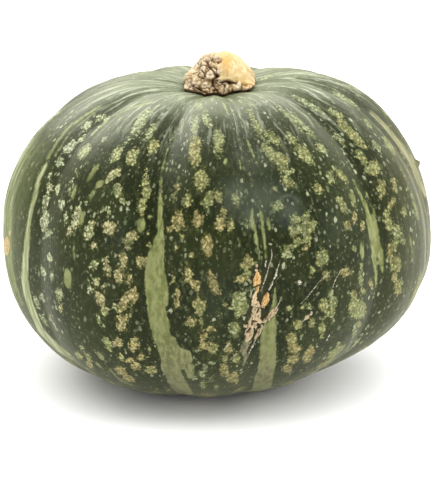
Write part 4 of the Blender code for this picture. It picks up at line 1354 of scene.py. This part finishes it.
    # bluish wax bloom, with painted reflections of the soft lamps on the lobes
    bloom_and_reflection = g.attribute("bloom_and_reflection")
    colour = g.mix(g.math("MULTIPLY", bloom_and_reflection, 0.42), colour, srgb(112, 121, 104))
    colour = g.mix(g.math("MULTIPLY", g.attribute("spot"), 0.75), colour, srgb(44, 50, 50))

    # round the scar: painted shadow darkening the skin round and under the scar, and a grey tongue below it
    torn = g.math("MULTIPLY", g.math("SUBTRACT", g.noise(place, 900, 3, 0.65), 0.5), 1.8)

    def part(name, low=-0.15, high=0.35):
        return g.step(g.math("ADD", g.attribute(name), torn), low, high)

    grain = g.noise(place, 1500, 2, 0.6)
    corky = part("corky")
    streaky = g.noise(g.stretch(grow, 1, 1, 0.3), 900, 3, 0.62)
    colour = g.mix(g.math("MULTIPLY", part("shade", -0.6, 0.5), 0.42), colour, g.mix(streaky, srgb(26, 25, 12), srgb(84, 80, 50)))
    colour = g.mix(g.math("MULTIPLY", part("grey_cork", -0.3, 0.4), 0.9), colour, g.mix(g.step(streaky, 0.3, 0.7), srgb(92, 90, 66), srgb(158, 152, 120)))
    colour = g.mix(corky, colour, g.mix(g.step(grain, 0.38, 0.6), g.mix(streaky, srgb(158, 116, 64), srgb(196, 158, 104)), srgb(222, 200, 150)))
    colour = g.mix(g.step(g.attribute("wart"), 0.25, 0.7), colour, srgb(110, 112, 76))

    # the blossom end underneath: pale rays, then a corky button
    low = g.step(height, -0.085, -0.100)
    ray = g.step(g.noise(g.stretch(grow, 1, 1, 0.05), 190, 2, 0.5), 0.46, 0.62)
    colour = g.mix(g.math("MULTIPLY", g.math("MULTIPLY", ray, g.step(girth, 0.034, 0.018)), low), colour, srgb(138, 148, 96))
    wobble = g.math("ADD", girth, g.math("MULTIPLY", g.math("SUBTRACT", g.noise(place, 300, 3, 0.6), 0.5), 0.006))
    button = g.math("MULTIPLY", g.step(wobble, 0.0100, 0.0086), low)
    bark = g.mix(g.step(g.noise(place, 700, 4, 0.65), 0.38, 0.62), srgb(92, 72, 46), srgb(176, 146, 102))
    colour = g.mix(button, colour, bark)

    rough = g.math("ADD", g.step(broad, 0.3, 0.7, 0.36, 0.42), g.math("MULTIPLY", core, 0.14))
    rough = g.math("ADD", rough, g.math("MULTIPLY", near, 0.12))
    rough = g.math("ADD", rough, g.math("MULTIPLY", g.attribute("leaf"), 0.30))
    rough = g.math("ADD", rough, g.math("MULTIPLY", bloom_and_reflection, 0.06))
    rough = g.math("MINIMUM", rough, 0.9)
    bump = g.math("ADD", g.math("MULTIPLY", g.noise(place, 650, 3, 0.6), 0.5), g.math("MULTIPLY", core, 0.30))
    bump = g.math("ADD", bump, g.math("MULTIPLY", g.noise(g.stretch(grow, 1, 1, 0.15), 260, 2, 0.5), 0.7))
    bump = g.math("ADD", bump, g.math("MULTIPLY", corky, grain))
    return g.finish(g.times(colour, 0.63), rough, bump, 0.06, 0.0005, 0.35, 0.15)


def scar_material():
    g = Graph("healed_scar")
    place = g.node("ShaderNodeTexCoord").outputs["Object"]
    strand = g.attribute("strand")
    fine = g.noise(place, 1500, 3, 0.6)
    mixed = g.math("ADD", strand, g.math("MULTIPLY", g.math("SUBTRACT", fine, 0.5), 1.2))
    tan = g.mix(g.step(mixed, -0.55, 0.20), srgb(118, 98, 64), srgb(202, 181, 142))
    # pale specks on the tan cork: painted highlights
    tan = g.mix(g.math("MULTIPLY", g.step(fine, 0.50, 0.64), 0.50), tan, srgb(232, 215, 182))
    orange = g.mix(g.step(mixed, -0.6, 0.4), srgb(168, 122, 62), srgb(224, 188, 126))
    cream = g.mix(g.step(mixed, -0.6, 0.4), srgb(184, 156, 112), srgb(236, 218, 178))
    colour = g.mix(g.attribute("tip"), tan, cream)
    colour = g.mix(g.attribute("scab"), colour, orange)
    # painted shade: the cork is darker where it comes down to the skin at its edges, so its middle looks lit
    colour = g.mix(g.step(g.attribute("rim"), 0.6, 0.0), colour, g.times(colour, 0.60))
    colour = g.mix(g.attribute("fibre"), colour, g.mix(g.step(fine, 0.40, 0.60), srgb(118, 112, 88), srgb(222, 220, 200)))
    # painted shade: dark in the sunken cracks
    colour = g.mix(g.math("MULTIPLY", g.attribute("crack"), 0.9), colour, srgb(40, 26, 12))
    return g.finish(g.times(colour, 0.66), 0.75, fine, 0.2, 0.0003, 0.5)


def stem_material():
    g = Graph("dry_cork")
    place = g.node("ShaderNodeTexCoord").outputs["Object"]
    face, painted_crevice_shade = g.attribute("cut_face"), g.attribute("painted_crevice_shade")
    chunk = g.attribute("chunk")
    fine = g.noise(place, 900, 4, 0.65)
    soft = g.noise(place, 230, 3, 0.55)
    crumbly = g.mix(g.step(soft, 0.38, 0.62), srgb(232, 206, 158), srgb(252, 236, 202))
    # random pale chunks as painted highlights, and dark specks between crumbs as painted shade
    crumbly = g.mix(g.math("MULTIPLY", g.step(chunk, 0.55, 1.0), 0.6), crumbly, srgb(252, 230, 194))
    crumbly = g.mix(g.math("MULTIPLY", g.step(fine, 0.54, 0.40), 0.50), crumbly, srgb(146, 108, 54))
    grain = g.noise(g.stretch(place, 1, 1, 0.35), 700, 3, 0.6)
    smooth_face = g.mix(g.step(soft, 0.35, 0.65), srgb(220, 194, 136), srgb(238, 216, 168))
    smooth_face = g.mix(g.math("MULTIPLY", g.step(grain, 0.54, 0.42), 0.35), smooth_face, srgb(190, 138, 72))
    colour = g.mix(face, crumbly, smooth_face)
    colour = g.mix(g.math("MULTIPLY", g.attribute("ochre"), 0.80), colour, srgb(222, 172, 88))
    # painted shade in the crevices of the stem
    sunk = g.math("ADD", painted_crevice_shade, g.math("MULTIPLY", g.math("SUBTRACT", fine, 0.5), 0.6))
    colour = g.mix(g.math("MULTIPLY", g.step(sunk, 0.10, 0.50), 0.72), colour, srgb(128, 90, 42))
    colour = g.mix(g.math("MULTIPLY", g.step(sunk, 0.50, 0.94), 0.86), colour, srgb(58, 38, 16))
    height = g.math("ADD", g.math("MULTIPLY", fine, 0.8), g.math("MULTIPLY", grain, 0.4))
    return g.finish(g.times(colour, 0.66), g.step(fine, 0.3, 0.7, 0.72, 0.88), height, 0.25, 0.0006, 0.45)


def floor_material():
    g = Graph("plain_floor")
    place = g.node("ShaderNodeTexCoord").outputs["Object"]
    shade = g.noise(place, 3, 2, 0.5)
    colour = g.mix(shade, (0.90, 0.90, 0.90), (0.92, 0.92, 0.92))
    return g.finish(colour, 0.8, None, 0.1, 0.001, 0.1)


squash.data.materials.append(skin_material())
healed.data.materials.append(scar_material())
stalk.data.materials.append(stem_material())

# ---------------------------------------------------------------- floor, light and camera
bm = bmesh.new()
bmesh.ops.create_grid(bm, x_segments=8, y_segments=8, size=4.0)
floor_mesh = bpy.data.meshes.new("studio_floor")
bm.to_mesh(floor_mesh)
bm.free()
floor = bpy.data.objects.new("studio_floor", floor_mesh)
bpy.context.scene.collection.objects.link(floor)
floor.data.materials.append(floor_material())

world = bpy.data.worlds.new("studio")
bpy.context.scene.world = world
world.use_nodes = True
tree_w = world.node_tree
tree_w.nodes.clear()
out = tree_w.nodes.new("ShaderNodeOutputWorld")
back = tree_w.nodes.new("ShaderNodeBackground")
coord = tree_w.nodes.new("ShaderNodeTexCoord")
split = tree_w.nodes.new("ShaderNodeSeparateXYZ")
ramp = tree_w.nodes.new("ShaderNodeMapRange")
ramp.interpolation_type = "SMOOTHSTEP"
ramp.inputs["From Min"].default_value = -0.85
ramp.inputs["From Max"].default_value = -0.15
ramp.inputs["To Min"].default_value = 0.08
ramp.inputs["To Max"].default_value = 1.00
# The walls behind the camera are dark to gloss; for all else the room is evenly white.
path = tree_w.nodes.new("ShaderNodeLightPath")
choose = tree_w.nodes.new("ShaderNodeMix")
choose.inputs[2].default_value = 1.40
tree_w.links.new(coord.outputs["Generated"], split.inputs[0])
tree_w.links.new(split.outputs["Y"], ramp.inputs["Value"])
tree_w.links.new(path.outputs["Is Glossy Ray"], choose.inputs[0])
low_dim = tree_w.nodes.new("ShaderNodeMapRange")
low_dim.interpolation_type = "SMOOTHSTEP"
for key, number in (("From Min", -0.10), ("From Max", 0.40), ("To Min", 0.36), ("To Max", 1.0)):
    low_dim.inputs[key].default_value = number
gloss = tree_w.nodes.new("ShaderNodeMath")
gloss.operation = "MULTIPLY"
tree_w.links.new(split.outputs["Z"], low_dim.inputs["Value"])
tree_w.links.new(ramp.outputs["Result"], gloss.inputs[0])
tree_w.links.new(low_dim.outputs["Result"], gloss.inputs[1])
# dimmer to the right, and a little green
right_dim = tree_w.nodes.new("ShaderNodeMapRange")
right_dim.interpolation_type = "SMOOTHSTEP"
for key, number in (("From Min", 0.0), ("From Max", 0.6), ("To Min", 1.0), ("To Max", 0.45)):
    right_dim.inputs[key].default_value = number
gloss_x = tree_w.nodes.new("ShaderNodeMath")
gloss_x.operation = "MULTIPLY"
tree_w.links.new(split.outputs["X"], right_dim.inputs["Value"])
tree_w.links.new(gloss.outputs[0], gloss_x.inputs[0])
tree_w.links.new(right_dim.outputs["Result"], gloss_x.inputs[1])
tree_w.links.new(gloss_x.outputs[0], choose.inputs[3])
tint = tree_w.nodes.new("ShaderNodeMix")
tint.data_type = "RGBA"
tint.inputs[6].default_value = (1.0, 1.0, 1.0, 1.0)
tint.inputs[7].default_value = (0.99, 1.0, 0.84, 1.0)
tree_w.links.new(path.outputs["Is Glossy Ray"], tint.inputs[0])
tree_w.links.new(tint.outputs[2], back.inputs["Color"])
tree_w.links.new(choose.outputs[0], back.inputs["Strength"])
tree_w.links.new(back.outputs[0], out.inputs[0])


def soft_light(name, place, target, size, radiance):
    data = bpy.data.lights.new(name, "AREA")
    data.shape, data.size, data.size_y = "RECTANGLE", size[0], size[1]
    data.energy = radiance * math.pi * size[0] * size[1]
    obj = bpy.data.objects.new(name, data)
    obj.location = place
    obj.rotation_euler = (Vector(target) - Vector(place)).to_track_quat("-Z", "Y").to_euler()
    bpy.context.scene.collection.objects.link(obj)
    return obj


soft_light("top_soft_box", (0.60, 0.1, 1.5), (0.60, 0, 0), (4.6, 2.2), 1.74).visible_glossy = False
soft_light("right_fill", (1.5, -0.2, 0.8), (0.25, 0, 0), (0.9, 0.7), 3.8).visible_glossy = False
# The strip behind is brightest to the left, and comes round higher there.
for name, place, target, size, radiance in (
    ("back_strip_left", (-0.77, 1.42, 1.24), (-0.77, 0, 0.10), (1.30, 1.00), 14.0),
    ("back_strip_middle", (0.165, 1.42, 1.20), (0.165, 0, 0.10), (0.57, 0.90), 12.5),
    ("back_strip_right", (1.475, 1.42, 1.20), (1.475, 0, 0.10), (2.05, 0.90), 5.2),
    ("left_panel", (-0.91, 0.71, 1.51), (0, 0, 0.13), (0.70, 0.70), 15.0),
):
    strip = soft_light(name, place, target, size, radiance)
    strip.visible_diffuse = False
    strip.data.color = (0.99, 1.0, 0.86)

camera = bpy.data.cameras.new("camera")
camera.sensor_width = 36.0
camera.lens = FOCAL * 36.0 / FRAME_H
camera.clip_start, camera.clip_end = 0.05, 50.0
view = bpy.data.objects.new("camera", camera)
view.location = Vector(EYE)
view.rotation_euler = (math.radians(90.0) - ELEVATION, 0.0, 0.0)
bpy.context.scene.collection.objects.link(view)
bpy.context.scene.camera = view
bpy.context.scene.view_settings.view_transform = "Standard"

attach(squash, "root")
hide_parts("fruit")
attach(healed, "root")
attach(stalk, "root")
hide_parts("stem")
